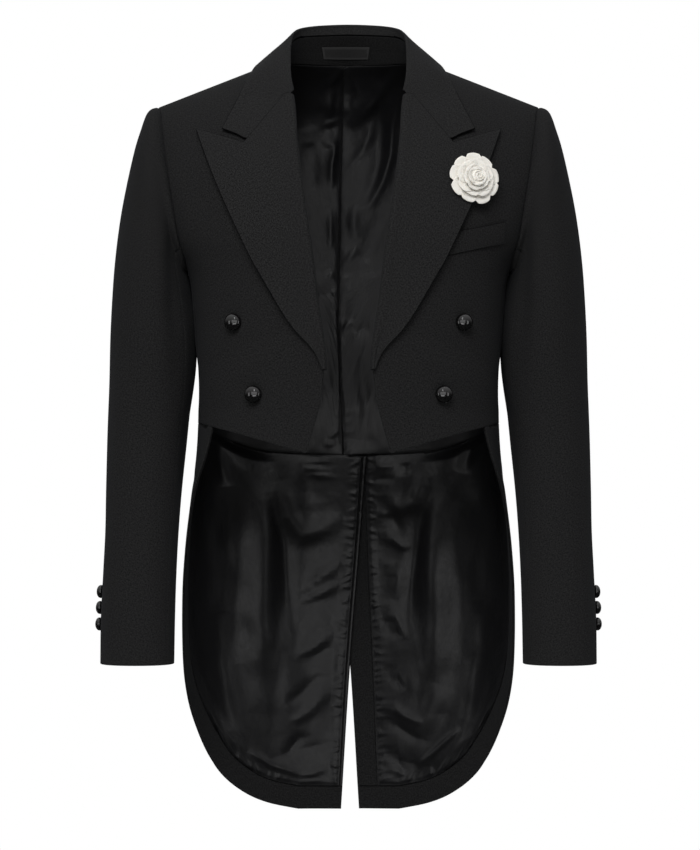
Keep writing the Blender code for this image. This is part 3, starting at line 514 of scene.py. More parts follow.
# Gathers beside the satin's seams: pitch, height and reach.
TAIL_GATHERS = (0.0085, 0.0022, 0.013)
FINE_GATHERS = (0.0058, 0.0016, 0.009)
STRIP_GATHERS = (0.012, 0.0018, 0.03)
BACK_GATHERS = (0.0085, 0.0010, 0.009)
GATHER_SEED = {1: 11, -1: 21}
GATHERS_DRAWN = 400
GATHER_WIDE = 0.36
WOOL_STRIP_SHARE = 0.3

# Looks: cycles in one unit of a wave texture's scale, and the shaders' steady values.
WAVE_TURNS = 20 / (2 * math.pi)
WOOL_GLOSS = 0.03
WOOL_SHEEN = 0.02
SATIN_GLOSS = 0.30

# The studio: how bright the world is low and high, the floor, the camera and the lamps.
WORLD_LOW = 0.03
WORLD_HIGH = 0.75
FLOOR_RADIUS = 3.0
FLOOR_SIDES = 96
FLOOR_Z = -1.45
LENS = 164.3
CAMERA = (0.0017, -4.5, -0.418)
# Soft lamps: place, target, size, power and whether they light cloth, show in gloss, or both.
LAMPS = (
    ("key", (-0.5, -2.9, 1.9), (0, 0, -0.40), (2.2, 1.6), 88, "light"),
    ("window", (0.0, -2.6, 1.45), (0, 0, -0.35), (0.42, 1.2), 5, "gloss"),
    ("card", (0.0, -5.4, 0.1), (0, 0, -0.40), (5.2, 2.4), 36, "gloss"),
    ("low_card", (0.0, -5.0, -1.75), (0, 0, -0.30), (3.0, 1.0), 20, "gloss"),
    ("card_left", (-3.7, -3.35, -0.6), (0, 0, -0.50), (1.2, 2.2), 11, "gloss"),
    ("card_right", (3.7, -3.35, -0.6), (0, 0, -0.50), (1.2, 2.2), 11, "gloss"),
    ("behind", (0.0, 3.4, 0.5), (0, 0, -0.35), (2.2, 2.0), 16, "both"),
)

# Folds in the wool: width and height, then the line of x and z, in mm. Heights below 0 are hollows.
FRONT_FOLDS = (
    (16, -1.6, 60, -300, 110, -330, 165, -352),
    (13, -1.2, 92, -372, 130, -398, 168, -410),
    (18, 1.2, 80, -330, 130, -362, 172, -382),
    (20, -1.5, 176, -120, 165, -170, 160, -235),
    (14, -1.0, 188, -200, 172, -262, 162, -330),
)
SIDE_FOLDS = (
    (16, -1.6, 150, -300, 172, -345, 178, -400),
    (14, 1.2, 165, -270, 178, -310, 180, -350),
)
BACK_CLOTH_FOLDS = (
    (16, -1.8, 150, -120, 128, -200, 96, -290),
    (13, 1.4, 160, -160, 120, -246, 84, -320),
    (16, -1.6, -148, -126, -124, -210, -92, -296),
    (13, 1.2, -158, -168, -120, -250, -80, -330),
    (15, -1.4, -60, -30, 0, -44, 62, -32),
    (18, -1.3, 48, -360, 20, -392, -22, -402),
    (18, -1.3, -52, -350, -20, -374, 20, -380),
    (14, -1.6, 24, -520, 32, -640, 36, -780),
    (14, -1.6, -30, -540, -34, -660, -40, -800),
)
TAIL_CLOTH_FOLDS = (
    (18, -2.6, 96, -470, 104, -600, 112, -760),
    (16, 1.8, 128, -470, 134, -590, 136, -700),
    (16, -2.2, 158, -470, 160, -560, 156, -640),
    (14, 1.6, 76, -500, 82, -640, 90, -800),
)
# Folds on the sleeves: angle, place along, half-widths both ways, height in mm and slant.
TOP_SLEEVE_FOLDS = (
    (60, 7.6, 26, 0.9, -2.6, 18),
    (95, 8.6, 30, 0.8, -2.2, -16),
    (20, 8.2, 24, 0.8, -1.8, 14),
    (115, 6.2, 30, 0.7, -1.8, -22),
    (40, 4.0, 34, 1.4, -1.4, 10),
    (80, 11.0, 30, 1.3, -1.6, 10),
    (-30, 9.0, 34, 1.2, -1.8, 12),
)
UNDER_SLEEVE_FOLDS = (
    (180, 7.0, 34, 0.7, -2.6, 14),
    (215, 8.0, 34, 0.7, -2.4, -12),
    (250, 7.4, 30, 0.9, -2.0, 12),
    (190, 5.4, 34, 0.7, -2.0, 14),
)

# Folds in the satin, the same way, on both halves of a lining and by the wearer's own left and right.
BACK_FOLDS = (
    (9.6, 3.2, 65, 4, 47, -13, 35, -28, 23, -43, 11, -56, -3, -63),
    (7.2, 1.3, 29, -51, 24, -76, 16, -95, 4, -107, -1, -129),
    (8.9, 2.9, 62, -21, 52, -62, 50, -99, 41, -129, 27, -156, 5, -165),
    (9.5, -2.6, 37, -28, 38, -69, 34, -110, 23, -149),
    (8.9, 1.9, 5, -157, 7, -199),
    (11.8, -2.4, 43, -167, 30, -194, 16, -225),
    (6.4, 1.4, -7, -1, 18, 5, 42, 10),
    (8.9, -1.9, 42, 5, 37, -17),
    (4.9, 1.0, 4, -7, 11, -25, 2, -44),
    (6.4, 1.6, 10, -208, -7, -231),
    (6.4, -1.3, -5, -270, -7, -296),
    (5.6, 1.4, -10, -308, 4, -295),
    (8.1, -1.2, 25, -300, 7, -309),
    (8.2, -1.8, 16, -337, 15, -367, 21, -403, 16, -438),
    (8.1, 1.6, -43, -5, -27, 2, -9, 5),
    (5.6, 1.2, -24, -17, -9, -3),
    (7.2, 1.8, -21, -21, -22, -54),
    (4.9, -1.1, -12, -14, -11, -37),
    (4.9, 1.2, -29, -63, -10, -56),
    (4.9, -1.1, -34, -70, -10, -63),
    (9.5, 3.2, -31, -78, -15, -88, -20, -111, -20, -140),
    (11.8, -2.4, -50, -5, -52, -38, -49, -70),
    (11.8, -2.4, -47, -84, -46, -114, -43, -140),
    (7.2, 1.7, -21, -159, -21, -213),
    (6.4, 1.1, -25, -250, -20, -240, -14, -232),
    (6.4, -1.2, -38, -263, -14, -263),
    (4.9, 1.3, -24, -432, -9, -425),
    (6.4, 1.3, -31, -441, -14, -439),
)
TAIL_FOLDS = {
    -1: (
        (10.7, -3.0, -157, -436, -150, -488),
        (
            52.1, 12.0,
            -145, -384, -133, -436, -125, -495, -115, -551, -107, -632, -95, -689, -79, -744, -62, -805,
        ),
        (11.8, -3.0, -93, -495, -76, -560, -72, -616, -65, -689),
        (14.2, -2.6, -155, -637, -152, -696, -138, -779),
        (15.4, 4.2, -80, -483, -69, -525, -53, -546, -31, -539, -9, -521),
        (10.7, -2.4, -48, -462, -47, -495, -36, -510),
        (4.1, 2.2, -52, -456, -37, -476, -22, -481),
        (4.7, -2.4, -33, -462, -31, -469),
        (8.3, 2.8, -9, -580, -35, -599, -54, -621),
        (6.5, 2.8, -12, -605, -36, -619, -56, -630),
        (5.9, 3.0, -21, -662, -38, -679, -57, -693),
        (7.7, -2.4, -22, -679, -46, -701),
        (8.3, -2.6, -29, -712, -54, -734, -74, -750),
        (7.1, 2.6, -24, -732, -48, -758, -67, -772),
        (7.1, -2.2, -54, -783, -76, -812),
        (5.3, 2.6, -29, -825, -52, -838),
        (5.9, 2.4, -120, -805, -93, -822, -54, -835),
        (7.1, 1.8, -36, -625, -48, -663, -62, -699),
    ),
    1: (
        (10.7, -3.0, 149, -436, 139, -471),
        (
            52.1, 12.0,
            146, -384, 137, -436, 131, -483, 123, -533, 110, -592, 99, -673, 85, -751, 73, -819,
        ),
        (11.8, -3.0, 97, -488, 85, -542, 75, -602, 67, -684),
        (11.8, 3.4, 91, -471, 80, -509, 63, -516, 44, -509),
        (14.2, -2.6, 158, -625, 156, -684, 142, -767),
        (5.3, -2.6, 67, -462, 68, -477),
        (4.7, 2.2, 35, -462, 47, -469),
        (5.3, -2.6, 35, -478, 46, -483),
        (7.1, -2.8, 36, -501, 50, -523, 63, -546),
        (6.5, 2.8, 43, -542, 56, -555, 69, -566),
        (4.7, 1.8, 37, -516, 49, -528),
        (4.7, 2.0, 38, -573, 56, -597),
        (5.9, 2.4, 41, -621, 59, -649, 70, -673),
        (5.9, -2.2, 42, -644, 61, -673),
        (7.1, -2.6, 46, -703, 66, -734),
        (7.7, -2.6, 44, -764, 63, -779, 85, -792),
        (6.5, 2.6, 44, -744, 66, -763, 89, -772),
        (6.5, -2.4, 44, -799, 66, -833),
        (5.9, 2.6, 47, -812, 65, -836),
        (5.9, 2.4, 134, -777, 108, -801, 82, -824),
        (16.6, 2.2, 108, -725, 97, -758, 85, -789),
        (7.1, 1.8, 61, -578, 56, -625),
    ),
}


def shoulder_z(x):
    return NECK_Z - SHOULDER_SLOPE * (np.abs(x) - NECK_X)


def form(place, level):
    """The outer surface on the wearer's left. Past place 2 it goes on over the centre back."""
    place, level = np.broadcast_arrays(np.asarray(place, float), np.asarray(level, float))
    rise = np.clip((level - ARMPIT) / (SHOULDER - ARMPIT), 0, 1)
    arch = (1 - rise**ARCH_POWER) ** ARCH_ROOT
    across, along = np.sin(place * np.pi / 2), np.cos(place * np.pi / 2)
    x = FORM("half_width", level) * np.sign(across) * np.abs(across) ** SQUARENESS
    depth = np.where(along > 0, -FORM("front_depth", level), FORM("back_depth", level))
    y = FORM("centre_y", level) + depth * arch * np.abs(along) ** SQUARENESS
    y = y + NECK_SET_BACK * rise**2 * (1 - np.abs(x) / SHOULDER_X)
    z = np.where(level > ARMPIT, ARMPIT + rise * (shoulder_z(x) - ARMPIT), level)
    return np.stack([x, y, z], -1)


def level_at(x, z):
    """The level of the surface's point that shows at x and z from the front or the back."""
    rise = (z - ARMPIT) / (shoulder_z(x) - ARMPIT)
    return np.where(z > ARMPIT, ARMPIT + rise * (SHOULDER - ARMPIT), z)


def place_at(x, level, side):
    """The place at a distance x from the centre, on the front (side -1) or the back (side 1)."""
    share = np.clip(np.abs(x) / FORM("half_width", level), 0, 1)
    place = np.arcsin(share ** (1 / SQUARENESS)) * 2 / np.pi * np.sign(x)
    return np.where(side < 0, place, 2 - place)


def spot(x, z, side):
    level = level_at(x, z)
    return place_at(x, level, side), level


def vent_step(hand):
    """The form of one side: below the waist one back laps over the other, so each steps aside."""

    def surface(place, level):
        points = form(place, level)
        down = np.clip((VENT_TOP - level) / (VENT_TOP - VENT_FULL), 0, 1)
        near = np.clip(1 - points[..., 0] / VENT_REACH, 0, 1) * (np.asarray(place) > 1)
        near = near * near * (3 - 2 * near)
        points[..., 1] += VENT_STEP[hand] * down * near
        return points

    return surface


def moved(surface, first, second, out):
    """Points of a surface moved out along its normals."""
    step = 1e-4
    here = surface(first, second)
    along = surface(first + step, second) - here
    up = here - surface(first, second - step)
    normal = np.cross(along, up)
    return here + np.asarray(out)[..., None] * normal / np.linalg.norm(normal, axis=-1, keepdims=True)


def armhole(angle):
    """Place and level of the armhole's edge. Angles past 180 lie on the back."""
    angle = np.asarray(angle, float)
    place = ARMHOLE("place", np.where(angle > 180, 360 - angle, angle))
    level = ARMHOLE_MIDDLE + ARMHOLE_HALF * np.cos(np.radians(angle))
    return np.stack([np.where(angle > 180, 2 - place, place), level], -1)


def patch(left, right, bottom, top, a, b):
    """Place and level inside four edges. a runs from left to right and b from bottom to top."""
    a, b = a[..., None], b[..., None]
    across = (1 - a) * left(b[..., 0]) + a * right(b[..., 0])
    upward = (1 - b) * bottom(a[..., 0]) + b * top(a[..., 0])
    zero, one = np.zeros(1), np.ones(1)
    corners = (1 - a) * (1 - b) * bottom(zero) + a * (1 - b) * bottom(one)
    corners = corners + (1 - a) * b * top(zero) + a * b * top(one)
    return across + upward - corners


def unit_grid(columns, rows):
    return np.meshgrid(np.linspace(0, 1, columns + 1), np.linspace(0, 1, rows + 1), indexing="ij")


def halves(b, below):
    """How far a row has come up to the foot of the armhole, and how far from there to the top."""
    return np.clip(b / below, 0, 1), np.clip((b - below) / (1 - below), 0, 1)


def front_points(columns, rows, surface, out):
    """The front: hem to shoulder seam, free edge to side seam and armhole."""
    edge_places, edge_levels = spot(FRONT_EDGE.rows[:, 1], FRONT_EDGE.rows[:, 0], -1)
    corner_place, corner_level = armhole(FRONT_SEAM_ANGLE)

    def row_level(b, lowest):
        low, high = halves(b, FRONT_ROWS_BELOW)
        top = armhole(FRONT_SEAM_ANGLE * (1 - high))[..., 1]
        return np.where(b < FRONT_ROWS_BELOW, lowest + (corner_level - lowest) * low, top)

    def left(b):
        level = row_level(b, edge_levels[0])
        return np.stack([np.interp(level, edge_levels, edge_places), level], -1)

    def right(b):
        place = armhole(FRONT_SEAM_ANGLE * (1 - halves(b, FRONT_ROWS_BELOW)[1]))[..., 0]
        return np.stack([place, row_level(b, WAIST("level", corner_place))], -1)

    def bottom(a):
        place = edge_places[0] + (corner_place - edge_places[0]) * a
        return np.stack([place, FRONT_HEM("level", place)], -1)

    def top(a):
        place = edge_places[-1] + (ARMHOLE("place", 0) - edge_places[-1]) * a
        return np.stack([place, np.full_like(place, SHOULDER)], -1)

    a, b = unit_grid(columns, rows)
    where = patch(left, right, bottom, top, a, b)
    return moved(surface, where[..., 0], np.minimum(where[..., 1], SEAM_LEVEL), np.full(a.shape, out))


def back_seam_place(level):
    return place_at(BACK_SEAM("x", level), level, 1)


def side_body_points(columns, rows, surface, out):
    """The side body: waist seam to the bottom of the armhole, between the front and the back."""
    front_place, front_level = armhole(FRONT_SEAM_ANGLE)
    back_level = armhole(BACK_SEAM_ANGLE)[1]

    def left(b):
        low = WAIST("level", front_place)
        return np.stack([np.full_like(b, front_place), low + (front_level - low) * b], -1)

    def right(b):
        low = BACK_WAIST_LEVEL
        level = low + (back_level - low) * b
        return np.stack([back_seam_place(level), level], -1)

    def bottom(a):
        place = front_place + (back_seam_place(BACK_WAIST_LEVEL) - front_place) * a
        return np.stack([place, WAIST("level", place)], -1)

    def top(a):
        return armhole(FRONT_SEAM_ANGLE + (BACK_SEAM_ANGLE - FRONT_SEAM_ANGLE) * a)

    a, b = unit_grid(columns, rows)
    where = patch(left, right, bottom, top, a, b)
    return moved(surface, where[..., 0], where[..., 1], np.full(a.shape, out))


def back_places(columns, rows, centre=lambda level: np.zeros_like(level)):
    """Place and level of the back above the waist. centre says how far off the centre the inner edge lies."""
    neck_places, neck_levels = spot(np.array(BACK_NECK_X), NECK_SEAM_Z, 1)
    shares = np.concatenate([[0], np.linspace(NECK_SHARE, 1, len(BACK_NECK_X))])
    top_places = np.concatenate([[2 - ARMHOLE("place", 0)], neck_places])
    top_levels = np.concatenate([[SHOULDER, SHOULDER], neck_levels[1:]])

    def left(b):
        low, high = halves(b, BACK_ROWS_BELOW)
        edge = armhole(BACK_SEAM_ANGLE + (360 - BACK_SEAM_ANGLE) * high)
        level = np.where(high > 0, edge[..., 1], BACK_WAIST_LEVEL + (edge[..., 1] - BACK_WAIST_LEVEL) * low)
        return np.stack([np.where(high > 0, edge[..., 0], back_seam_place(level)), level], -1)

    def right(b):
        level = WAIST("level", 2) + (top_levels[-1] - WAIST("level", 2)) * b
        return np.stack([place_at(centre(level), level, 1), level], -1)

    def bottom(a):
        last = right(np.zeros(1))[0, 0]
        place = back_seam_place(BACK_WAIST_LEVEL) * (1 - a) + last * a
        return np.stack([place, WAIST("level", place)], -1)

    def top(a):
        last = right(np.ones(1))[0, 0]
        place = np.interp(a, shares, np.append(top_places[:-1], last))
        return np.stack([place, np.interp(a, shares, top_levels)], -1)

    a, b = unit_grid(columns, rows)
    where = patch(left, right, bottom, top, a, b)
    return np.stack([where[..., 0], np.minimum(where[..., 1], SEAM_LEVEL)], -1)


def tail_edge(along):
    return TAIL_EDGE.point("place level", along)


def facing_line(along):
    """The facing's inner edge, its width inside the tail's free edge."""
    ahead, behind = tail_edge(np.minimum(along + NEAR, 1)), tail_edge(np.maximum(along - NEAR, 0))
    run = (ahead - behind) * (PLACE_LENGTH, 1)
    run /= np.linalg.norm(run, axis=-1, keepdims=True)
    inward = np.stack([-run[..., 1] / PLACE_LENGTH, run[..., 0]], -1)
    return tail_edge(along) + inward * TAIL_EDGE("facing", along)[..., None]


def skirt_places(hand, tail_columns, back_columns, rows):
    """Place and level of one skirt, free front edge to vent, waist to hem, as columns by rows."""
    grid = np.zeros((tail_columns + back_columns + 1, rows + 1, 2))
    top_place = facing_line(np.zeros(1))[0, 0]
    seam_place = back_seam_place(BACK_WAIST_LEVEL)
    seam_low = facing_line(np.ones(1))[0, 1]

    def left(b):
        line = facing_line(TAIL_CORNER * b)
        line[..., 1] = np.where(b > 0, line[..., 1], WAIST("level", top_place))
        return line

    def right(b):
        level = BACK_WAIST_LEVEL + (seam_low - BACK_WAIST_LEVEL) * b
        return np.stack([back_seam_place(level), level], -1)

    def top(a):
        place = top_place + (seam_place - top_place) * a
        return np.stack([place, WAIST("level", place)], -1)

    def bottom(a):
        line = facing_line(TAIL_CORNER + (1 - TAIL_CORNER) * a)
        line[..., 0] += (back_seam_place(seam_low) - facing_line(np.ones(1))[0, 0]) * a
        return line

    front_place = armhole(FRONT_SEAM_ANGLE)[0]
    stops = np.append(top_place, np.linspace(front_place, seam_place, tail_columns - 1))
    shares = (stops - top_place) / (seam_place - top_place)
    a, b = np.meshgrid(shares, np.linspace(0, 1, rows), indexing="ij")
    grid[1 : tail_columns + 1, :rows] = patch(left, right, top, bottom, a, b)
    down = np.linspace(0, TAIL_CORNER - CORNER_STEP, rows)
    grid[0, :rows] = tail_edge(down)
    grid[0, rows] = tail_edge(np.array(TAIL_CORNER))
    hem_start = TAIL_CORNER + CORNER_STEP
    grid[1 : tail_columns + 1, rows] = tail_edge(hem_start + (1 - hem_start) * shares)
    grid[tail_columns, rows, 0] = back_seam_place(grid[tail_columns, rows, 1])

    lining_column = LINING_COLUMN[hand]
    columns = np.arange(back_columns + 1)
    for row in range(rows + 1):
        seam, level = grid[tail_columns, row]
        levels = level + vent_drop(level) * columns / back_columns
        stops = [BACK_SEAM("x", level), VENT[hand]("lining", level), VENT[hand]("edge", level)]
        x = np.interp(columns, [0, lining_column, back_columns], stops)
        places = place_at(x, levels, 1)
        if row == 0:
            places = seam + (2 - seam) * columns / back_columns
            levels = WAIST("level", places)
        grid[tail_columns:, row] = np.stack([places, levels], -1)
    return grid


def vent_drop(level):
    """How much lower a row of the skirt is at the vent than at the side-back seam."""
    return np.interp(level, [HEM, BACK_WAIST_LEVEL], [0.0, WAIST("level", 2) - BACK_WAIST_LEVEL])


def on_side(x, z, side, lift):
    """A point over the front (side -1) or the back (side 1), lifted off it."""
    place, level = spot(np.asarray(x, float), np.asarray(z, float), side)
    return moved(form, place, np.minimum(level, SEAM_LEVEL), np.broadcast_to(lift, np.shape(x)))


def collar_table():
    """The collar's lines all the way round: 0 is the wearer's left gorge, 1 the centre back, 2 the right."""
    names = " ".join(["along", *map(COLLAR_LINE.format, ("neck", "seam", "fold", "edge"))])
    rows = []
    for along, neck_x, neck_z, side, *rest in COLLAR_HALF.rows:
        seam, fold, (edge_x, edge_z) = rest[0:3], rest[3:6], rest[6:8]
        neck = on_side(neck_x, neck_z, side, -CLOTH / 2)
        edge = on_side(edge_x, edge_z, side, COLLAR_LIFT)
        line = np.concatenate([neck, seam, fold, edge])
        rows.append((along, *line))
        if along < 1:
            rows.append((2 - along, *(line * np.tile([-1, 1, 1], 4))))
    return Table(names, *rows)


def collar_fall_points(table, along, columns):
    """The fall's middle surface: stand seam, up and over the fold, down to the free edge."""
    shares = np.concatenate([[0, 0, 0], np.linspace(0, 1, columns - 1)[1:]])
    shares[3:] = np.where(
        np.abs(shares[3:] - COLLAR_CORNER_SHARE) < 0.5 / (columns - 2), COLLAR_CORNER_SHARE, shares[3:]
    )
    grid = np.zeros((len(shares), len(along), 3))
    for j, at in enumerate(along):
        seam, fold, edge = (table.point(COLLAR_LINE.format(name), at) for name in ("seam", "fold", "edge"))
        hand = 1 if at < 1 else -1
        to_edge = edge - fold
        ahead, behind = (table.point(COLLAR_LINE.format("fold"), at + step) for step in (2 * NEAR, -2 * NEAR))
        outward = np.cross(to_edge, ahead - behind)
        outward /= np.linalg.norm(outward)
        for i, share in enumerate(shares):
            if i < len(FOLD_SHARES):
                point = seam + (fold - seam) * FOLD_SHARES[i]
            else:
                belly = COLLAR_BELLY * math.sin(math.pi * share)
                point = fold + to_edge * share + outward * belly
                end = max(0.0, 1 - min(at, 2 - at) / NOTCH_FADE) ** 1.5
                tent = min(share / COLLAR_CORNER_SHARE, (1 - share) / (1 - COLLAR_CORNER_SHARE))
                point += np.array([hand * NOTCH_SAG[0], 0, NOTCH_SAG[1]]) * tent * end
                if min(at, 2 - at) < FRONT_COLLAR_END:
                    under = on_side(abs(point[0]), point[2], -1, COLLAR_LIFT)
                    point[1] = min(point[1], under[1])
            grid[i, j] = point
    return grid


def sleeve_oval(angle, along):
    """The sleeve's plain section: angle 0 is its outermost line, 90 its front, 180 the inside of the arm."""
    turn = np.radians(angle)
    cos, sin = np.cos(turn), np.sin(turn)
    outer, inner = SLEEVE.point("outer_x outer_z", along), SLEEVE.point("inner_x inner_z", along)
    wave = np.sign(cos) * np.abs(cos) ** SLEEVE_SQUARE
    flat = (outer + inner) / 2 + (outer - inner) / 2 * wave[..., None]
    y = SLEEVE("centre_y", along) - SLEEVE("depth", along) * np.sign(sin) * np.abs(sin) ** SLEEVE_SQUARE
    return np.stack([flat[..., 0], y, flat[..., 1]], -1)


def sleeve_surface(angle, along):
    """The sleeve starts along the armhole's edge and soon takes its plain section."""
    where = armhole(np.mod(angle, 360))
    edge = form(where[..., 0], np.minimum(where[..., 1], SEAM_LEVEL))
    edge[..., 0] += ARMHOLE_STEP[0] + ARMHOLE_STEP[1] * np.sin(np.radians(angle) / 2) ** 2
    share = np.clip(1 - along / ARMHOLE_FADE, 0, 1)[..., None] ** 2
    return sleeve_oval(angle, along) + (edge - sleeve_oval(angle, np.zeros_like(along))) * share


def sleeve_points(angle, along, out):
    round_step = sleeve_surface(angle + TURN_STEP, along) - sleeve_surface(angle - TURN_STEP, along)
    below, above = np.minimum(along + NEAR, SLEEVE_END), np.maximum(along - NEAR, 0)
    down_step = sleeve_surface(angle, below) - sleeve_surface(angle, above)
    normal = np.cross(round_step, down_step)
    normal /= np.linalg.norm(normal, axis=-1, keepdims=True)
    return sleeve_surface(angle, along) + out * normal


# Walls.


def read_between(grid, at):
    """Rows of a grid read smoothly at fractional places along its first axis."""
    slope = np.gradient(grid, axis=0)
    i = np.clip(at.astype(int), 0, len(grid) - 2)
    s = (at - i).reshape(-1, *[1] * (grid.ndim - 1))
    return hermite(s, grid[i], grid[i + 1], slope[i], slope[i + 1])


def read_grid(grid, across, upward):
    """A grid read smoothly at fractional places along both of its axes."""
    return np.moveaxis(read_between(np.moveaxis(read_between(grid, across), 1, 0), upward), 0, 1)


def refined(grid, columns):
    """A finer grid on the same smooth surface: each column of cells is cut in several."""
    across = np.arange((grid.shape[0] - 1) * columns + 1) / columns
    return read_grid(grid, across, np.arange(grid.shape[1]))


def unit(vectors):
    return vectors / np.maximum(np.linalg.norm(vectors, axis=-1, keepdims=True), 1e-12)


def world_x(points, hand):
    """Points of the wearer's left on the side that they are for."""
    return points * np.array([hand, 1, 1])


def grid_normals(points):
    return unit(np.cross(np.gradient(points, axis=0), np.gradient(points, axis=1)))


def run_lengths(points):
    """How far each point of a grid lies from its first column and its first row, measured on the surface."""
    across = np.linalg.norm(np.diff(points, axis=0), axis=-1)
    along = np.linalg.norm(np.diff(points, axis=1), axis=-1)
    u = np.concatenate([np.zeros((1, points.shape[1])), np.cumsum(across, 0)])
    v = np.concatenate([np.zeros((points.shape[0], 1)), np.cumsum(along, 1)], 1)
    return u, v


def grid_quads(columns, rows, keep):
    """The numbers of a grid's points, and of the corners of the cells that it keeps."""
    index = np.arange((columns + 1) * (rows + 1)).reshape(columns + 1, rows + 1)
    i, j = np.nonzero(keep)
    return index, np.stack([index[i, j], index[i + 1, j], index[i + 1, j + 1], index[i, j + 1]], 1)


def cut_size(points, keep):
    """The width, length and area of a grid before it was given its folds."""
    u, v = run_lengths(points)
    one, two = points[1:, 1:] - points[:-1, :-1], points[:-1, 1:] - points[1:, :-1]
    area = (np.linalg.norm(np.cross(one, two), axis=-1) / 2 * keep).sum()
    if not keep.all():
        # A curved strip along the first column and row, laid straight.
        length = v[0, -1] + u[-1, 0]
        return STRIP_ROOM * area / length, length, area
    return u[-1].max(), v[:, -1].max(), area


def shell(
    name, points, thickness, materials, hand=1, flip=False, keep=None, lift=None, inner=None,
    gap=SEAM_LINE, rim_slot=0,
):
    """A closed wall round a grid of points on its middle surface, with a half-round rim.

    lift moves the points out along the normals, for folds. keep says which cells the wall has, and inner
    which of its cells have the second material on their inner side.
    """
    columns, rows = points.shape[0] - 1, points.shape[1] - 1
    keep = np.ones((columns, rows), bool) if keep is None else keep
    size = cut_size(points, keep)
    normals = grid_normals(points) * (-1 if flip else 1)
    if lift is not None:
        points = points + normals * lift[..., None]
        normals = grid_normals(points) * (-1 if flip else 1)
    flat, out = world_x(points, hand).reshape(-1, 3), world_x(normals, hand).reshape(-1, 3)
    quads = grid_quads(columns, rows, keep)[1]
    if (hand < 0) != flip:
        quads = quads[:, ::-1]
    sides = np.concatenate([np.stack([quads[:, k], quads[:, (k + 1) % 4]], 1) for k in range(4)])
    known = set(map(tuple, sides.tolist()))
    rim = np.array([side for side in known if (side[1], side[0]) not in known])
    rim = rim[np.lexsort((rim[:, 1], rim[:, 0]))]
    way = np.cross(unit(flat[rim[:, 1]] - flat[rim[:, 0]]), unit(out[rim[:, 0]] + out[rim[:, 1]]))
    away, leaving = np.zeros_like(flat), np.zeros_like(flat)
    away[rim[:, 0]] = way
    leaving[rim[:, 1]] = way
    edge = np.unique(rim)
    both = away[edge] + leaving[edge]
    radius = thickness / 2
    both /= np.maximum(1 + (away[edge] * leaving[edge]).sum(-1, keepdims=True), CORNER_SPREAD)
    flat = flat.copy()
    flat[edge] -= both * (radius + gap / 2)
    rings = [
        flat[edge] + both * radius * math.cos(turn) + out[edge] * radius * math.sin(turn)
        for turn in RIM_TURNS
    ]
    verts = np.concatenate([flat + out * radius, flat - out * radius, *rings])
    count = len(flat)
    place = np.zeros(count, int)
    place[edge] = np.arange(len(edge))
    a, b = rim[:, 0], rim[:, 1]
    lines = [(a, b)]
    for ring in range(len(RIM_TURNS)):
        start = 2 * count + ring * len(edge)
        lines.append((start + place[a], start + place[b]))
    lines.append((a + count, b + count))
    faces = [quads, quads[:, ::-1] + count]
    faces += [np.stack([b1, a1, a2, b2], 1) for (a1, b1), (a2, b2) in zip(lines, lines[1:])]
    marks = np.zeros(len(quads), int) if inner is None else inner[keep].astype(int)
    # The rim's faces take the slot rim_slot. Where that slot holds the dark rim wool, the rim is painted
    # shade along the edge.
    rims = np.full(len(rim) * (len(lines) - 1), rim_slot)
    slots = np.concatenate([np.zeros(len(quads), int), marks, rims])
    faces = np.concatenate(faces)
    used = np.unique(faces)
    renumber = np.zeros(len(verts), int)
    renumber[used] = np.arange(len(used))

    u, v = run_lengths(points)
    laid = np.stack([u - u[(columns + 1) // 2], v - v[:, [(rows + 1) // 2]]], -1).reshape(-1, 2)
    laid = np.concatenate([laid, laid, *[laid[edge]] * len(RIM_TURNS)])

    thing = piece(name, verts[used], renumber[faces].tolist(), materials)
    thing.data.polygons.foreach_set("material_index", slots)
    layer = thing.data.uv_layers.new(name="weave")
    layer.data.foreach_set("uv", laid[faces.ravel()].astype(np.float32).ravel())
    return thing, size


def piece(name, verts, faces, materials):
    mesh = bpy.data.meshes.new(name)
    mesh.from_pydata(verts.tolist(), [], faces)
    for made in materials:
        mesh.materials.append(made)
    mesh.shade_smooth()
    thing = bpy.data.objects.new(name, mesh)
    bpy.context.scene.collection.objects.link(thing)
    return thing


def cloth(node, points, thickness, materials, slot, held="hung", rests_on=(), **how):
    """A sewn piece that stands for a node of the frame, and hides the node's own solid."""
    thing, (width, length, area) = shell(f"{node}_cloth", points, thickness, materials, **how)
    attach(thing, "root")
    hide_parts(node)
    min(area, width * length)
    return thing


# Folds.


def fold_lift(points, folds):
    """The height of every fold at each point. A fold is a width, a height and a line of x and z, in mm."""
    x, z = points[..., 0] * 1000, points[..., 2] * 1000
    lift = np.zeros(x.shape)
    for width, height, *line in folds:
        line = np.array(line, float).reshape(-1, 2)
        lengths = np.linalg.norm(np.diff(line, axis=0), axis=1)
        total, before = lengths.sum(), 0.0
        best = np.full(x.shape, np.inf)
        share = np.zeros(x.shape)
        for (x0, z0), (x1, z1), length in zip(line, line[1:], lengths):
            along = ((x - x0) * (x1 - x0) + (z - z0) * (z1 - z0)) / length**2
            along = np.clip(along, 0, 1)
            near = np.hypot(x - x0 - (x1 - x0) * along, z - z0 - (z1 - z0) * along)
            closer = near < best
            best = np.where(closer, near, best)
            share = np.where(closer, (before + along * length) / total, share)
            before += length
        taper = np.clip(4 * share * (1 - share), 0, 1) ** FOLD_TAPER
        lift += height * taper * np.exp(-((best / width) ** FOLD_CREST[width > SMALL_FOLD]) * FOLD_DROP)
    return lift / 1000


def smooth_noise(seed, shape, cells):
    """Soft seeded unevenness from -1 to 1 over a grid."""
    made = np.random.default_rng(seed).uniform(-1, 1, (cells[0] + 1, cells[1] + 1))
    return read_grid(made, np.linspace(0, cells[0], shape[0]), np.linspace(0, cells[1], shape[1]))


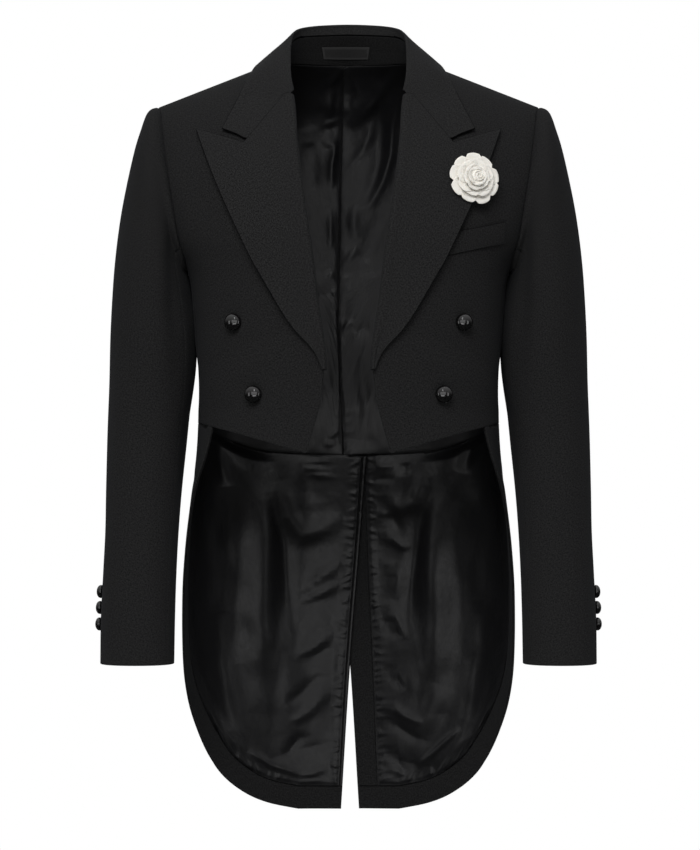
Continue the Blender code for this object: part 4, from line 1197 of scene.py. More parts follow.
def edge_fade(points, reach, sides="lrbt"):
    """0 at the chosen edges of a grid and 1 from reach inside them: left, right, bottom and top."""
    fade = np.ones(points.shape[:2])
    u, v = run_lengths(points)
    for side, away in (("l", u), ("r", u[-1] - u), ("b", v), ("t", v[:, [-1]] - v)):
        if side in sides:
            share = np.clip(away / reach, 0, 1)
            fade = np.minimum(fade, share * share * (3 - 2 * share))
    return fade, u, v


def puckers(seed, along, away, pitch, height, reach):
    """Little gathers across a seam, uneven in pitch and height, that fade away from it."""
    rng = np.random.default_rng(seed)
    stops = np.cumsum(rng.uniform(0.55, 1.45, GATHERS_DRAWN) * pitch) - pitch * 3
    heights = rng.uniform(0.25, 1.0, GATHERS_DRAWN) * height
    slants = rng.uniform(-0.5, 0.5, GATHERS_DRAWN)
    lift = np.zeros(along.shape)
    low, high = along.min(), along.max()
    for stop, tall, slant in zip(stops, heights, slants):
        if low - pitch < stop + low < high + pitch:
            off = along - low - stop - slant * away
            lift += tall * np.exp(-((off / (pitch * GATHER_WIDE)) ** 2))
    return lift * np.exp(-((away / reach) ** 2))


# Materials.


class Nodes:
    """A short way to wire a material's nodes."""

    def __init__(self, name):
        self.made = bpy.data.materials.new(name)
        self.made.use_nodes = True
        self.tree = self.made.node_tree
        self.shader = self.tree.nodes["Principled BSDF"]
        self.uv = self.add("ShaderNodeUVMap")
        self.uv.uv_map = "weave"

    def add(self, kind, **values):
        node = self.tree.nodes.new(kind)
        for key, value in values.items():
            setattr(node, key, value)
        return node

    def link(self, output, target):
        self.tree.links.new(output, target)

    def scaled(self, x, y, turn=0.0):
        """The cloth's own coordinates in cycles per metre, turned by an angle."""
        mapping = self.add("ShaderNodeMapping")
        mapping.inputs["Rotation"].default_value = (0, 0, turn)
        mapping.inputs["Scale"].default_value = (x, y, 1)
        self.link(self.uv.outputs[0], mapping.inputs[0])
        return mapping.outputs[0]

    def noise(self, x, y, detail=2.0, turn=0.0):
        """Noise with x and y cycles per metre of cloth."""
        node = self.add("ShaderNodeTexNoise")
        node.inputs["Scale"].default_value = 1.0
        node.inputs["Detail"].default_value = detail
        self.link(self.scaled(x, y, turn), node.inputs["Vector"])
        return node.outputs["Fac"]

    def ribs(self, pitch, turn):
        """Ribs at a pitch in metres, at an angle across the cloth."""
        node = self.add("ShaderNodeTexWave", wave_profile="SIN")
        node.inputs["Scale"].default_value = 1.0
        node.inputs["Distortion"].default_value = 1.2
        node.inputs["Detail"].default_value = 1.0
        turns_per_metre = 1 / pitch / WAVE_TURNS
        self.link(self.scaled(turns_per_metre, turns_per_metre, turn), node.inputs["Vector"])
        return node.outputs["Fac"]

    def ramp(self, value, low, high, dark, light):
        """From dark to light as the value goes from low to high."""
        node = self.add("ShaderNodeMapRange", data_type="FLOAT_VECTOR")
        given, *ends = node.inputs[6:11]
        self.link(value, given)
        for end, there in zip(ends, ((low,) * 3, (high,) * 3, dark, light)):
            end.default_value = there
        return node.outputs[1]

    def mixed(self, one, other, share):
        node = self.add("ShaderNodeMix")
        node.inputs["Factor"].default_value = share
        for value, input_name in ((one, "A"), (other, "B")):
            self.link(value, node.inputs[input_name])
        return node.outputs[0]

    def bump(self, height, distance, strength=1.0, under=None):
        """Relief of a height in metres, on top of the relief under it."""
        node = self.add("ShaderNodeBump")
        node.inputs["Strength"].default_value = strength
        node.inputs["Distance"].default_value = distance
        self.link(height, node.inputs["Height"])
        if under is not None:
            self.link(under, node.inputs["Normal"])
        self.link(node.outputs[0], self.shader.inputs["Normal"])
        return node.outputs[0]

    def set(self, **values):
        for key, value in values.items():
            self.shader.inputs[key.replace("_", " ")].default_value = value


def wool_material(name, dark, light):
    """Fine worsted: a grain and flecks in its colour, a steep twill, and a low sheen."""
    nodes = Nodes(name)
    grain = nodes.noise(780, 540, 3.0)
    fleck = nodes.noise(440, 820, 2.0, 0.2)
    twill = nodes.ribs(0.0011, math.radians(63))
    tone = nodes.mixed(nodes.mixed(grain, fleck, 0.35), twill, 0.12)
    nodes.link(nodes.ramp(tone, 0.39, 0.61, dark, light), nodes.shader.inputs["Base Color"])
    rough = nodes.ramp(grain, 0.3, 0.7, (0.78, 0.78, 0.78), (0.95, 0.95, 0.95))
    nodes.link(rough, nodes.shader.inputs["Roughness"])
    under = nodes.bump(nodes.mixed(grain, fleck, 0.5), 0.0005, 0.5)
    nodes.bump(twill, 0.00012, 0.35, under)
    nodes.set(Specular_IOR_Level=WOOL_GLOSS, Sheen_Weight=WOOL_SHEEN, Sheen_Roughness=0.55)
    nodes.set(Sheen_Tint=(0.75, 0.78, 0.85, 1))
    return nodes.made


def satin_material(name):
    """Black satin: threads along the piece, and a soft crumple that breaks up its reflections."""
    nodes = Nodes(name)
    weave = nodes.noise(2600, 420, 2.0)
    crumple = nodes.noise(60, 40, 2.0, 0.7)
    tiny = nodes.noise(210, 150, 2.0)
    tone = nodes.ramp(weave, 0.35, 0.65, (0.0040, 0.0040, 0.0044), (0.0072, 0.0072, 0.0079))
    nodes.link(tone, nodes.shader.inputs["Base Color"])
    nodes.link(nodes.ramp(tiny, 0.3, 0.7, (0.30,) * 3, (0.38,) * 3), nodes.shader.inputs["Roughness"])
    under = nodes.bump(crumple, 0.0014, 0.35)
    under = nodes.bump(tiny, 0.0002, 0.3, under)
    nodes.bump(weave, 0.00008, 0.3, under)
    nodes.set(Specular_IOR_Level=SATIN_GLOSS)
    return nodes.made


def plain_material(name, dark, light, rough, scale, bump=0.00005, **values):
    """A surface whose colour, roughness and relief vary a little over its own space."""
    nodes = Nodes(name)
    nodes.tree.nodes.remove(nodes.uv)
    where = nodes.add("ShaderNodeTexCoord").outputs["Object"]
    node = nodes.add("ShaderNodeTexNoise")
    node.inputs["Scale"].default_value = scale
    node.inputs["Detail"].default_value = 3.0
    nodes.link(where, node.inputs["Vector"])
    nodes.link(nodes.ramp(node.outputs["Fac"], 0.35, 0.65, dark, light), nodes.shader.inputs["Base Color"])
    roughs = [(share,) * 3 for share in rough]
    nodes.link(nodes.ramp(node.outputs["Fac"], 0.35, 0.65, *roughs), nodes.shader.inputs["Roughness"])
    nodes.bump(node.outputs["Fac"], bump)
    nodes.set(**values)
    return nodes.made


# The coat's pieces.


def lay(surface, where, out):
    """Points of a surface at places and levels, moved out."""
    levels = np.minimum(where[..., 1], SEAM_LEVEL)
    return moved(surface, where[..., 0], levels, np.full(levels.shape, out))


def split_strip(grid, cells, axis, at):
    """Cuts one column or row of cells of a grid into several."""
    low, high = np.take(grid, [at], axis), np.take(grid, [at + 1], axis)
    parts = [low + (high - low) * k / cells for k in range(1, cells)]
    before, after = np.split(grid, [at + 1], axis)
    return np.concatenate([before, *parts, after], axis)


def make_body(wool, satin, facing):
    inside = -(CLOTH + LAYER_GAP + SATIN / 2)
    facing_out = -(CLOTH + LAYER_GAP + FACING / 2)
    for hand, word in SIDES:
        surface = vent_step(hand)
        front = front_points(*FRONT_CELLS, surface, -CLOTH / 2)
        fade, u, _ = edge_fade(front, FRONT_FADE, "lrt")
        cloth(
            f"front_{word}", front, CLOTH, (wool, satin), "wool", rests_on=["collar_stand"],
            hand=hand, lift=fold_lift(front, FRONT_FOLDS) * fade, inner=u[:-1, :-1] > FRONT_FACING,
        )
        side = side_body_points(*SIDE_CELLS, surface, -CLOTH / 2)
        cloth(
            f"side_body_{word}", side, CLOTH, (wool, satin), "wool", hand=hand,
            lift=fold_lift(side, SIDE_FOLDS) * edge_fade(side, SIDE_FADE)[0],
            inner=np.ones(SIDE_CELLS, bool),
        )
        upper = back_places(*BACK_CELLS)
        skirt = skirt_places(hand, *SKIRT_CELLS)
        skirt = split_strip(split_strip(skirt, HEM_CELLS, 1, SKIRT_CELLS[2] - 1), HEM_CELLS, 0, 0)
        tail_columns = SKIRT_CELLS[0] + HEM_CELLS - 1
        whole = np.concatenate([skirt[tail_columns:, ::-1], upper[:, 1:]], axis=1)
        back = lay(surface, whole, -CLOTH / 2)
        lift = cloth_lift(back, hand) * edge_fade(back, NECK_FADE, "t")[0]
        cloth(f"back_{word}", back, CLOTH, (wool,), "wool", hand=hand, lift=lift)
        upright = skirt[:, ::-1]
        tail = lay(surface, upright[: tail_columns + 1], -CLOTH / 2)
        cloth(f"tail_{word}", tail, CLOTH, (wool,), "wool", hand=hand, lift=cloth_lift(tail, hand))

        keep = np.zeros((upright.shape[0] - 1, upright.shape[1] - 1), bool)
        keep[:HEM_CELLS] = keep[:, :HEM_CELLS] = True
        strip = lay(surface, upright, facing_out)
        cloth(
            f"tail_facing_{word}", strip, FACING, (facing,), "wool",
            hand=hand, keep=keep, lift=cloth_lift(strip, hand), gap=LINING_SEAM_LINE,
        )

    make_tail_linings(inside, satin, facing)
    make_back_linings(inside, satin)


def cloth_lift(points, hand):
    """The folds of the back and the tails in all their layers. They fade out at the waist seam."""
    z = points[..., 2]
    fade = np.clip(np.abs(z - WAIST_Z) / WAIST_FADE, 0, 1) ** 2
    lift = fold_lift(world_x(points, hand), BACK_CLOTH_FOLDS) * (points[..., 1] > 0)
    return (lift + fold_lift(points, TAIL_CLOTH_FOLDS) * (z < WAIST_Z)) * fade


def soft_floor(lift):
    """Keeps a fold off the cloth behind it, with a rounded bottom."""
    return (lift + np.sqrt(lift * lift + SOFT_FLOOR**2)) / 2


def satin_panel(name, points, hand, lift, made, slot="satin"):
    """A piece of lining: it follows the wool's folds, and its own lift goes inward."""
    cloth(
        name, points, SATIN, (made,), slot, hand=hand, lift=cloth_lift(points, hand) - lift,
        gap=LINING_SEAM_LINE,
    )


def make_tail_linings(inside, satin, facing):
    for hand, word in SIDES:
        surface = vent_step(hand)
        skirt = skirt_places(hand, *TAIL_LINING_CELLS)
        stop = TAIL_LINING_CELLS[0] + LINING_COLUMN[hand] * LINING_COLUMN_CELLS
        inner = skirt[:, ::-1][:, 1:]
        lining = lay(surface, inner[1 : stop + 1], inside)
        fade, u, v = edge_fade(lining, TAIL_SATIN_FADE)
        pillow = edge_fade(lining, PILLOW_FADE)[0] * PILLOW
        lift = fold_lift(world_x(lining, hand), TAIL_FOLDS[hand]) * fade + pillow
        height, cells = TAIL_WAVE
        wave = smooth_noise(40 + hand, lift.shape, cells) * height * fade
        seed = GATHER_SEED[hand]
        gathers = np.zeros(lift.shape)
        for side, along, away, kind, reach in (
            ("l", v, u, TAIL_GATHERS, SEAM_FADE),
            ("b", u, v, TAIL_GATHERS, SEAM_FADE),
            ("r", v, u[-1] - u, FINE_GATHERS, STITCH_FADE),
        ):
            gathers += puckers(seed, along, away, *kind) * edge_fade(lining, reach, side)[0]
            seed += 1
        lift = soft_floor(lift + wave + gathers * edge_fade(lining, STITCH_FADE)[0])
        lift = lift * edge_fade(lining, SEAM_FADE)[0]
        satin_panel(f"tail_lining_{word}", lining, hand, lift, satin)

        strip = lay(surface, inner[stop:], inside)
        fade, u, v = edge_fade(strip, STRIP_FADE)
        lift = puckers(seed, v, u, *STRIP_GATHERS) * fade
        if hand > 0:
            satin_panel("vent_facing_left", strip, hand, lift * WOOL_STRIP_SHARE, facing, "wool")
        else:
            satin_panel("vent_lining_right", strip, hand, lift, satin)


def make_back_linings(inside, satin):
    surface = vent_step(-1)
    for hand, word in SIDES:
        seam = back_places(*BACK_LINING_CELLS, lambda level: hand * LINING_SEAM("x", level))
        lining = lay(surface, seam, inside)
        fade, u, v = edge_fade(lining, BACK_SATIN_FADE)
        pillow = edge_fade(lining, PILLOW_FADE)[0] * BACK_PILLOW
        lift = fold_lift(world_x(lining, hand), BACK_FOLDS) * fade + pillow
        height, cells = BACK_WAVE
        wave = smooth_noise(50 + hand, lift.shape, cells) * height * fade
        gathers = puckers(31 + hand, v, u[-1] - u, *BACK_GATHERS) * edge_fade(lining, STITCH_FADE)[0]
        lift = soft_floor(lift + wave + gathers) * edge_fade(lining, SEAM_FADE)[0]
        follow = cloth_lift(lining, hand) * edge_fade(lining, NECK_FADE, "t")[0]
        cloth(
            f"back_lining_{word}", lining, SATIN, (satin,), "satin", hand=hand, lift=follow - lift,
            gap=LINING_SEAM_LINE,
        )


def lapel_points(columns, rows):
    """The lapel's middle surface with a smooth roll: out from behind the front's edge, over it and down."""
    lift = LAPEL_LIFT + LAPEL / 2
    cells = (len(LAPEL_TURN) - 1) * LAPEL_TURN_CELLS
    roll = read_between(np.array(LAPEL_TURN), np.arange(cells + 1) / LAPEL_TURN_CELLS)
    shares = np.concatenate([np.zeros(len(roll)), np.linspace(0, 1, columns + 1)[1:]])
    notch = len(roll) + np.argmin(np.abs(shares[len(roll) :] - NOTCH_SHARE))
    shares[notch] = NOTCH_SHARE
    b = np.linspace(0, 1, rows + 1)
    edge_z = BREAK_Z + (GORGE_Z - BREAK_Z) * b
    inner = np.stack([FRONT_EDGE("x", edge_z), edge_z], -1)
    outer = LAPEL_EDGE.point("x z", b)
    wide = np.linalg.norm(outer - inner, axis=-1)
    sag = (NOTCH[1] - (GORGE_Z + (LAPEL_EDGE("z", 1) - GORGE_Z) * NOTCH_SHARE)) * b**3
    grid = np.zeros((len(shares), rows + 1, 3))
    for i, share in enumerate(shares):
        dx, out = roll[i] if i < len(roll) else (roll[-1][0] * (1 - share), lift)
        room = np.clip(wide / LAPEL_ROOM, 0, 1)
        dx = dx * room if dx > 0 else dx
        tent = min(share / NOTCH_SHARE, (1 - share) / (1 - NOTCH_SHARE))
        flat = inner * (1 - share) + outer * share
        stand = LAPEL_STAND * share**3 * np.sin(math.pi * b) ** 0.5
        full = out + room * (LAPEL_BELLY * math.sin(math.pi * share) + stand)
        grid[i] = on_side(flat[:, 0] + dx, flat[:, 1] + sag * tent, -1, full)
    grid[: len(roll), -1, 2] += ROLL_CLOSE
    return grid


# edge is the dark rim wool: the rims of the lapels and the fall are painted shade.
def make_collar(wool, under, edge):
    # wool is the lighter lapel copy: painted light on the lapels and the fall.
    for hand, word in SIDES:
        cloth(
            f"lapel_{word}", lapel_points(*LAPEL_CELLS), LAPEL, (wool, edge), "wool", held="folded",
            rests_on=[f"front_{word}"], hand=hand, gap=COLLAR_SEAM_LINE, rim_slot=1,
        )
    table = collar_table()
    front = np.linspace(0, FRONT_TURN, COLLAR_POINTS[0])
    round_neck = np.linspace(FRONT_TURN, 2 - FRONT_TURN, COLLAR_POINTS[1])
    along = np.concatenate([front, round_neck[1:-1], 2 - front[::-1]])
    fall = refined(collar_fall_points(table, along, COLLAR_COLUMNS), FALL_CUTS)
    outward = np.sign((grid_normals(fall)[-1] * fall[-1] * (1, 1, 0)).sum())
    share = np.linspace(0, 1, len(fall))[:, None] * np.ones(len(along))
    cloth(
        "collar_fall", fall, COLLAR, (wool, edge), "wool", held="folded", rests_on=["collar_stand"],
        lift=outward * COLLAR_STAND_OFF * share**4, gap=COLLAR_SEAM_LINE, rim_slot=1,
    )
    along = np.linspace(STAND_START, 2 - STAND_START, STAND_POINTS[1])
    up = np.linspace(0, 1, STAND_POINTS[0])[:, None]
    neck, seam = stand_lines(table, along)
    drop = np.interp(np.minimum(along, 2 - along), *np.transpose(STAND_DROP))[:, None]
    low = neck - unit(neck * (1, 1, 0)) * drop * STAND_LEAN + (0, 0, STAND_LIFT) - drop * (0, 0, 1)
    stand = low * (1 - up[..., None]) + seam * up[..., None]
    lift = np.where(np.abs(up - STITCH_UP) < STITCH_HALF, -STITCH_DEEP, 0.0) * np.ones(len(along))
    # The stand takes under, the darker wool: painted shade inside the collar.
    cloth("collar_stand", stand, CLOTH, (under,), "wool", held="folded", lift=lift)


def stand_lines(table, along):
    """The collar stand's low line, at the neck seam, and its high one, where the fall starts."""
    return (table.point(COLLAR_LINE.format(name), along) for name in ("neck", "seam"))


def make_sleeves(wool, satin):
    rows = np.linspace(0, SLEEVE_END, SLEEVE_ROWS * SLEEVE_CUTS + 1)
    for hand, word in SIDES:
        front, hind = SLEEVE_SEAMS("front", rows), SLEEVE_SEAMS("hind", rows)
        for name, start, stop, folds in (
            ("top_sleeve", front, hind - 360, TOP_SLEEVE_FOLDS),
            ("under_sleeve", hind, front, UNDER_SLEEVE_FOLDS),
        ):
            columns = SLEEVE_COLUMNS[name]
            share = np.linspace(0, 1, columns + 1)[:, None]
            angle = start + (stop - start) * share
            points = sleeve_points(angle, np.broadcast_to(rows, angle.shape), -CLOTH / 2)
            roping = ROPING * np.exp(-(((rows - ROPING_AT) / ROPING_WIDE) ** 2))
            ditch = -DITCH * np.exp(-((rows / DITCH_WIDE) ** 2))
            wrap = WRAP * bell(angle, WRAP_ANGLE, WRAP_WIDE) - TURN_IN * bell(angle, TURN_ANGLE, TURN_WIDE)
            wrap = wrap * np.interp(rows, *np.transpose(PRESSED))
            lift = sleeve_lift(angle, rows, folds) * edge_fade(points, SLEEVE_FADE)[0]
            lift = lift + roping + ditch + wrap
            where = armhole(np.mod(angle[:, 0], 360))
            tuck = lay(form, where, -TUCK_DEEP)
            tuck[:, 0] -= TUCK_IN
            points = np.concatenate([tuck[:, None], points], 1)
            lift = np.concatenate([np.zeros((columns + 1, 1)), lift], 1)
            inner = np.ones((columns, len(rows)), bool)
            inner[:, -CUFF_CELLS:] = False
            cloth(
                f"{name}_{word}", points, CLOTH, (wool, satin), "wool", rests_on=[f"front_{word}"],
                hand=hand, flip=True, lift=lift, inner=inner,
            )


def bell(angle, middle, wide):
    """1 at an angle and falling off on both of its sides."""
    return np.exp(-(((angle - middle + 180) % 360 - 180) / wide) ** 2)


def sleeve_lift(angle, along, folds):
    """Soft folds on a sleeve: an angle, a place along it, half-widths both ways, a height and a slant."""
    lift = np.zeros(angle.shape)
    for at, down, wide, long, height, slant in folds:
        turn = (angle - at - slant * (along - down) + 180) % 360 - 180
        lift += height * np.exp(-((turn / wide) ** 2) - ((along - down) / long) ** 2)
    return lift / 1000


def make_welt(wool, edge):
    a, b = unit_grid(*WELT_CELLS)
    low, high = WELT.point("x low_z", a), WELT.point("x high_z", a)
    flat = (low + (WELT_LEAN, 0)) * (1 - b[..., None]) + high * b[..., None]
    points = on_side(flat[..., 0], flat[..., 1], -1, LAYER_GAP + WELT_CLOTH / 2)
    # The welt's rim takes the dark rim wool: painted shade round the welt.
    cloth(
        "breast_welt", points, WELT_CLOTH, (wool, edge), "wool", held="laid", rests_on=["front_left"],
        rim_slot=1, gap=LINING_SEAM_LINE,
    )


def make_label(dark, border):
    table = collar_table()
    along = 1 + np.linspace(-LABEL_HALF, LABEL_HALF, LABEL_POINTS[0]) + LABEL_SHIFT
    up = np.linspace(*LABEL_UP, LABEL_POINTS[1])[:, None, None]
    neck, seam = stand_lines(table, along)
    points = neck * (1 - up) + seam * up
    points[..., 1] -= CLOTH / 2 + LABEL_GAP + LABEL / 2
    thing = cloth(
        "neck_label", points, LABEL, (dark, border), "label_black", held="laid", rests_on=["collar_stand"],
    )
    mesh = thing.data
    laid = np.array([item.uv for item in mesh.uv_layers["weave"].data])
    ends = (laid.max(0) - laid.min(0)) / 2
    middle = (laid.max(0) + laid.min(0)) / 2
    for polygon in mesh.polygons:
        room = (ends - np.abs(laid[list(polygon.loop_indices)] - middle)).min()
        polygon.material_index = int(room < LABEL_BORDER)


def revolve(name, profile, sides, made, place, axis):
    """A turned solid from radius and height pairs, from its top's middle down to its bottom's middle."""
    turn = np.linspace(0, 2 * math.pi, sides, endpoint=False)
    rings = profile[1:-1]
    verts = [np.array([[0, 0, profile[0][1]]])]
    verts += [np.stack([r * np.cos(turn), r * np.sin(turn), np.full(sides, h)], -1) for r, h in rings]
    verts = np.concatenate([*verts, np.array([[0, 0, profile[-1][1]]])])
    k, after = np.arange(sides), np.roll(np.arange(sides), -1)
    starts = 1 + np.arange(len(rings)) * sides
    quads = [np.stack([a + k, b + k, b + after, a + after], 1) for a, b in zip(starts, starts[1:])]
    last = starts[-1]
    faces = [[0, 1 + a, 1 + b] for a, b in zip(k, after)]
    faces += np.concatenate(quads).tolist()
    faces += [[last + a, len(verts) - 1, last + b] for a, b in zip(k, after)]
    turned = Vector(axis).to_track_quat("Z", "Y").to_matrix()
    return piece(name, verts @ np.array(turned).T + np.array(place), faces, (made,))


def button(node, diameter, place, axis, gloss):
    """A high glossy dome that turns in at a rounded rim, on a short flat back."""
    radius = diameter / 2
    turns = np.radians(np.linspace(0, 90, DOME_STEPS))
    profile = [
        (radius * DOME_SHARE * math.sin(turn), radius * (RIM_HEIGHT + DOME_RISE * math.cos(turn)))
        for turn in turns
    ]
    profile += [(radius * r, radius * h) for r, h in BUTTON_RIM]
    profile.append((0.0, 0.0))
    thing = revolve(f"{node}_dome", profile, BUTTON_SIDES, gloss, place, axis)
    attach(thing, "root")
    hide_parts(node)


def make_buttons(gloss):
    for hand, word in SIDES:
        for name, x, z in FRONT_BUTTONS:
            place, level = spot(x, z, -1)
            centre, axis = outward_at(form, float(place), float(level), BUTTON_LIFT + SHANK)
            axis = world_x(unit(unit(axis) + (0, -BUTTON_TURN, 0)), hand)
            button(f"front_button_{word}_{name}", FRONT_BUTTON, world_x(centre, hand), axis, gloss)
        for number, z in enumerate(CUFF_BUTTON_Z, 1):
            along = 13 + (SLEEVE_13_Z - z) / (SLEEVE_13_Z - SLEEVE_14_Z)
            angle, row = np.array([CUFF_BUTTON_ANGLE]), np.array([along])
            near, far = (
                world_x(sleeve_points(angle, row, BUTTON_LIFT + out)[0], hand) for out in (0, NEAR)
            )
            button(f"cuff_button_{word}_{number}", CUFF_BUTTON, near, far - near, gloss)


def outward_at(surface, first, second, out):
    """A point of a surface, moved out, and the direction it moved in."""
    near = moved(surface, np.array([first]), np.array([second]), np.array([out]))[0]
    far = moved(surface, np.array([first]), np.array([second]), np.array([out + NEAR]))[0]
    return near, (far - near) / NEAR


def petal(base, reach, half, rise, cup, tip, turn, lean, seed):
    """One petal as a grid: from its root out to a rounded, cupped tip that rolls back at its rim."""
    a, b = unit_grid(PETAL_CELLS, PETAL_CELLS)
    start, run = PETAL_OUTLINE
    across = (a * 2 - 1) * np.sin(np.pi * (start + run * b)) ** 0.8
    ripple = np.random.default_rng(seed).uniform(-1, 1, 4)
    out = base + (reach - base) * b - (across**2) * (reach - base) * PETAL_BEND * b
    z = rise[0] + (rise[1] - rise[0]) * b**tip + cup * across**2
    z = z + PETAL_RIPPLE * b * (ripple[0] * np.sin(3 * across + ripple[1] * 3) + ripple[2] * across)
    rolled = np.clip(b - PETAL_ROLL_FROM, 0, 1) / (1 - PETAL_ROLL_FROM)
    z = z - PETAL_ROLL * rolled * (1 - 0.5 * across**2)
    x = across * half + lean * out
    cos, sin = math.cos(turn), math.sin(turn)
    return np.stack([out * cos - x * sin, out * sin + x * cos, z], -1)


def petal_wall(grid):
    """The closed wall of one petal, as points and faces."""
    columns, rows = grid.shape[0] - 1, grid.shape[1] - 1
    middle = grid.reshape(-1, 3)
    shift = grid_normals(grid).reshape(-1, 3) * PETAL_CLOTH / 2
    index, quads = grid_quads(columns, rows, np.ones((columns, rows), bool))
    loop = np.concatenate([index[:, 0], index[-1, 1:], index[-2::-1, -1], index[0, -2:0:-1]])
    after = np.roll(loop, -1)
    count = len(middle)
    rim = np.stack([after, loop, loop + count, after + count], 1)
    verts = np.concatenate([middle + shift, middle - shift])
    return verts, np.concatenate([quads, quads[:, ::-1] + count, rim])


def petal_grids():
    """Rings of cupped petals that stand up towards a wound bud, then the bud and its core."""
    seed = PETAL_SEED
    for petals, start, base, reach, half, low, high, cup, tip in PETAL_RINGS:
        for k in range(int(petals)):
            seed += 1
            rng = np.random.default_rng(seed)
            turn = math.radians(start) + 2 * math.pi * (k + rng.uniform(-0.10, 0.10)) / petals
            size, lean = rng.uniform(0.95, 1.03), rng.uniform(-0.06, 0.06)
            yield petal(base, reach * size, half, (low, high), cup, tip, turn, lean, seed)
    turns = np.linspace(0, BUD_TURNS * 2 * math.pi, BUD_POINTS[0])[:, None]
    share = turns / turns[-1]
    up = np.linspace(0, 1, BUD_POINTS[1])
    radius = BUD_RADIUS * (BUD_START + (1 - BUD_START) * share) * (1 + BUD_FLARE * (up - 0.5))
    rim = BUD_TOP - BUD_FALL * share + BUD_RIPPLE * np.sin(turns * BUD_RIPPLES)
    yield upright_grid(radius, turns, BUD_LOW + (rim - BUD_LOW) * up)
    turns = np.linspace(0, 2 * math.pi, CORE_POINTS[0])[:, None]
    radius = np.linspace(CORE_HOLE, BUD_RADIUS, CORE_POINTS[1])
    yield upright_grid(radius, turns, BUD_TOP - CORE_DEEP - (radius + 0 * turns) ** 2 * CORE_CROWN)


def upright_grid(radius, turns, z):
    """A grid round the bud's middle from radii, turns and heights."""
    return np.stack([radius * np.cos(turns) + BUD_SET[0], radius * np.sin(turns) + BUD_SET[1], z], -1)


def make_flower(ivory):
    """A layered cloth flower, in one piece."""
    verts, faces, count = [], [], 0
    for grid in petal_grids():
        points, quads = petal_wall(grid)
        verts.append(points)
        faces.append(quads + count)
        count += len(points)
    verts, faces = np.concatenate(verts), np.concatenate(faces).tolist()
    place, level = spot(FLOWER_X + FLOWER_SHIFT[0], FLOWER_Z + FLOWER_SHIFT[1], -1)
    centre, axis = outward_at(form, float(place), float(level), LAPEL_LIFT + LAPEL + FLOWER_LIFT)
    out = unit(axis)
    right = unit(np.cross([0, 0, 1], out))
    base = np.stack([right, np.cross(out, right), out])
    thing = piece("lapel_flower_petals", verts * FLOWER_GROW @ base + centre, faces, (ivory,))
    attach(thing, "root")
    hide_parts("lapel_flower")


# The studio.


def soft_light(name, place, target, size, power, seen):
    data = bpy.data.lights.new(name, "AREA")
    data.shape = "RECTANGLE"
    data.size, data.size_y = size
    data.energy = power
    lamp = bpy.data.objects.new(name, data)
    lamp.location = place
    lamp.visible_glossy = seen != "light"
    lamp.visible_diffuse = seen != "gloss"
    way = Vector(target) - Vector(place)
    lamp.rotation_euler = way.to_track_quat("-Z", "Y").to_euler()
    bpy.context.scene.collection.objects.link(lamp)


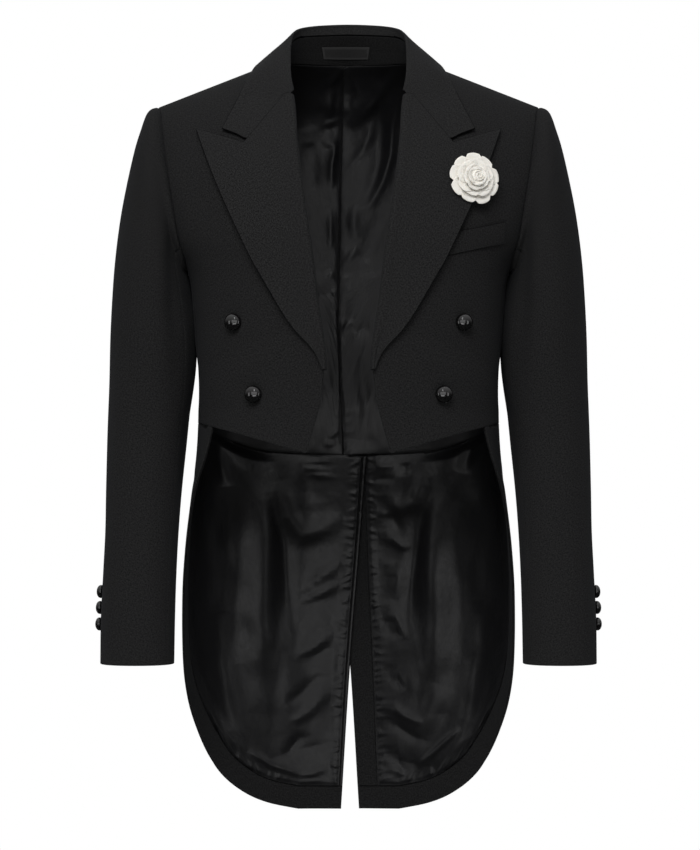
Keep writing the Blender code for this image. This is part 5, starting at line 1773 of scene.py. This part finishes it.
def make_stage():
    turn = np.linspace(0, 2 * math.pi, FLOOR_SIDES, endpoint=False)
    height = np.full(FLOOR_SIDES, FLOOR_Z)
    rim = np.stack([FLOOR_RADIUS * np.cos(turn), FLOOR_RADIUS * np.sin(turn), height], -1)
    pale = bpy.data.materials.new("floor")
    pale.use_nodes = True
    shader = pale.node_tree.nodes["Principled BSDF"]
    shader.inputs["Base Color"].default_value = (0.86, 0.86, 0.86, 1)
    shader.inputs["Roughness"].default_value = 0.9
    ground = piece("floor", rim, [list(range(FLOOR_SIDES))], (pale,))
    ground.visible_glossy = False

    world = bpy.data.worlds.new("studio")
    bpy.context.scene.world = world
    world.use_nodes = True
    tree = world.node_tree
    tree.nodes["Background"].inputs["Color"].default_value = (1, 1, 1, 1)
    where = tree.nodes.new("ShaderNodeTexCoord")
    split = tree.nodes.new("ShaderNodeSeparateXYZ")
    tree.links.new(where.outputs["Generated"], split.inputs[0])
    sky = tree.nodes.new("ShaderNodeMapRange")
    sky.inputs["From Min"].default_value = -0.1
    sky.inputs["To Min"].default_value = WORLD_LOW
    sky.inputs["To Max"].default_value = WORLD_HIGH
    tree.links.new(split.outputs["Z"], sky.inputs["Value"])
    share = tree.nodes.new("ShaderNodeMapRange")
    path = tree.nodes.new("ShaderNodeLightPath")
    tree.links.new(path.outputs["Is Camera Ray"], share.inputs["Value"])
    tree.links.new(sky.outputs[0], share.inputs["To Min"])
    tree.links.new(share.outputs[0], tree.nodes["Background"].inputs["Strength"])
    for lamp in LAMPS:
        soft_light(*lamp)

    data = bpy.data.cameras.new("camera")
    data.sensor_fit = "AUTO"
    data.sensor_width = 36
    data.lens = LENS
    camera = bpy.data.objects.new("camera", data)
    camera.location = CAMERA
    camera.rotation_euler = (math.pi / 2, 0, 0)
    bpy.context.scene.collection.objects.link(camera)
    bpy.context.scene.camera = camera
    bpy.context.scene.view_settings.view_transform = "Standard"


def main():
    make_stage()
    wool = wool_material("wool", (0.0064, 0.0064, 0.0065), (0.0236, 0.0236, 0.0238))
    facing = wool_material("wool_facing", (0.0044, 0.0044, 0.0045), (0.0190, 0.0190, 0.0192))
    # A lighter copy of the wool for the lapels and the collar fall: painted light on them.
    lapel_wool_painted_light = wool_material("wool_lapel", (0.0070, 0.0070, 0.0071), (0.0272, 0.0272, 0.0274))
    # A darker copy of the wool for the collar stand: painted shade for the deep inside of the collar.
    under = wool_material("wool_stand", (0.0036, 0.0036, 0.0036), (0.0140, 0.0140, 0.0141))
    # A much darker copy of the wool for the rims of the lapels, the collar fall and the welt: painted shade
    # along their edges and seam grooves.
    edge = wool_material("wool_edge", (0.0012, 0.0012, 0.0012), (0.0040, 0.0040, 0.0040))
    satin = satin_material("satin")
    gloss = plain_material("button_black", (0.0022,) * 3, (0.0040,) * 3, (0.03, 0.06), 900, IOR=1.75)
    ivory = plain_material(
        "flower_ivory", (0.86, 0.83, 0.765), (0.90, 0.88, 0.83), (0.75, 0.9), 1400, 0.0001,
        Sheen_Weight=0.2, Subsurface_Weight=0.12, Subsurface_Radius=(0.0016, 0.0014, 0.0012),
    )
    dark, border = (
        plain_material(name, (low,) * 3, (high,) * 3, rough, 2500, Specular_IOR_Level=0.1)
        for name, low, high, rough in (
            ("label_black", 0.014, 0.020, (0.7, 0.8)),
            ("label_border", 0.022, 0.030, (0.6, 0.7)),
        )
    )
    make_body(wool, satin, facing)
    make_collar(lapel_wool_painted_light, under, edge)
    make_sleeves(wool, satin)
    make_welt(wool, edge)
    make_label(dark, border)
    make_buttons(gloss)
    make_flower(ivory)


main()
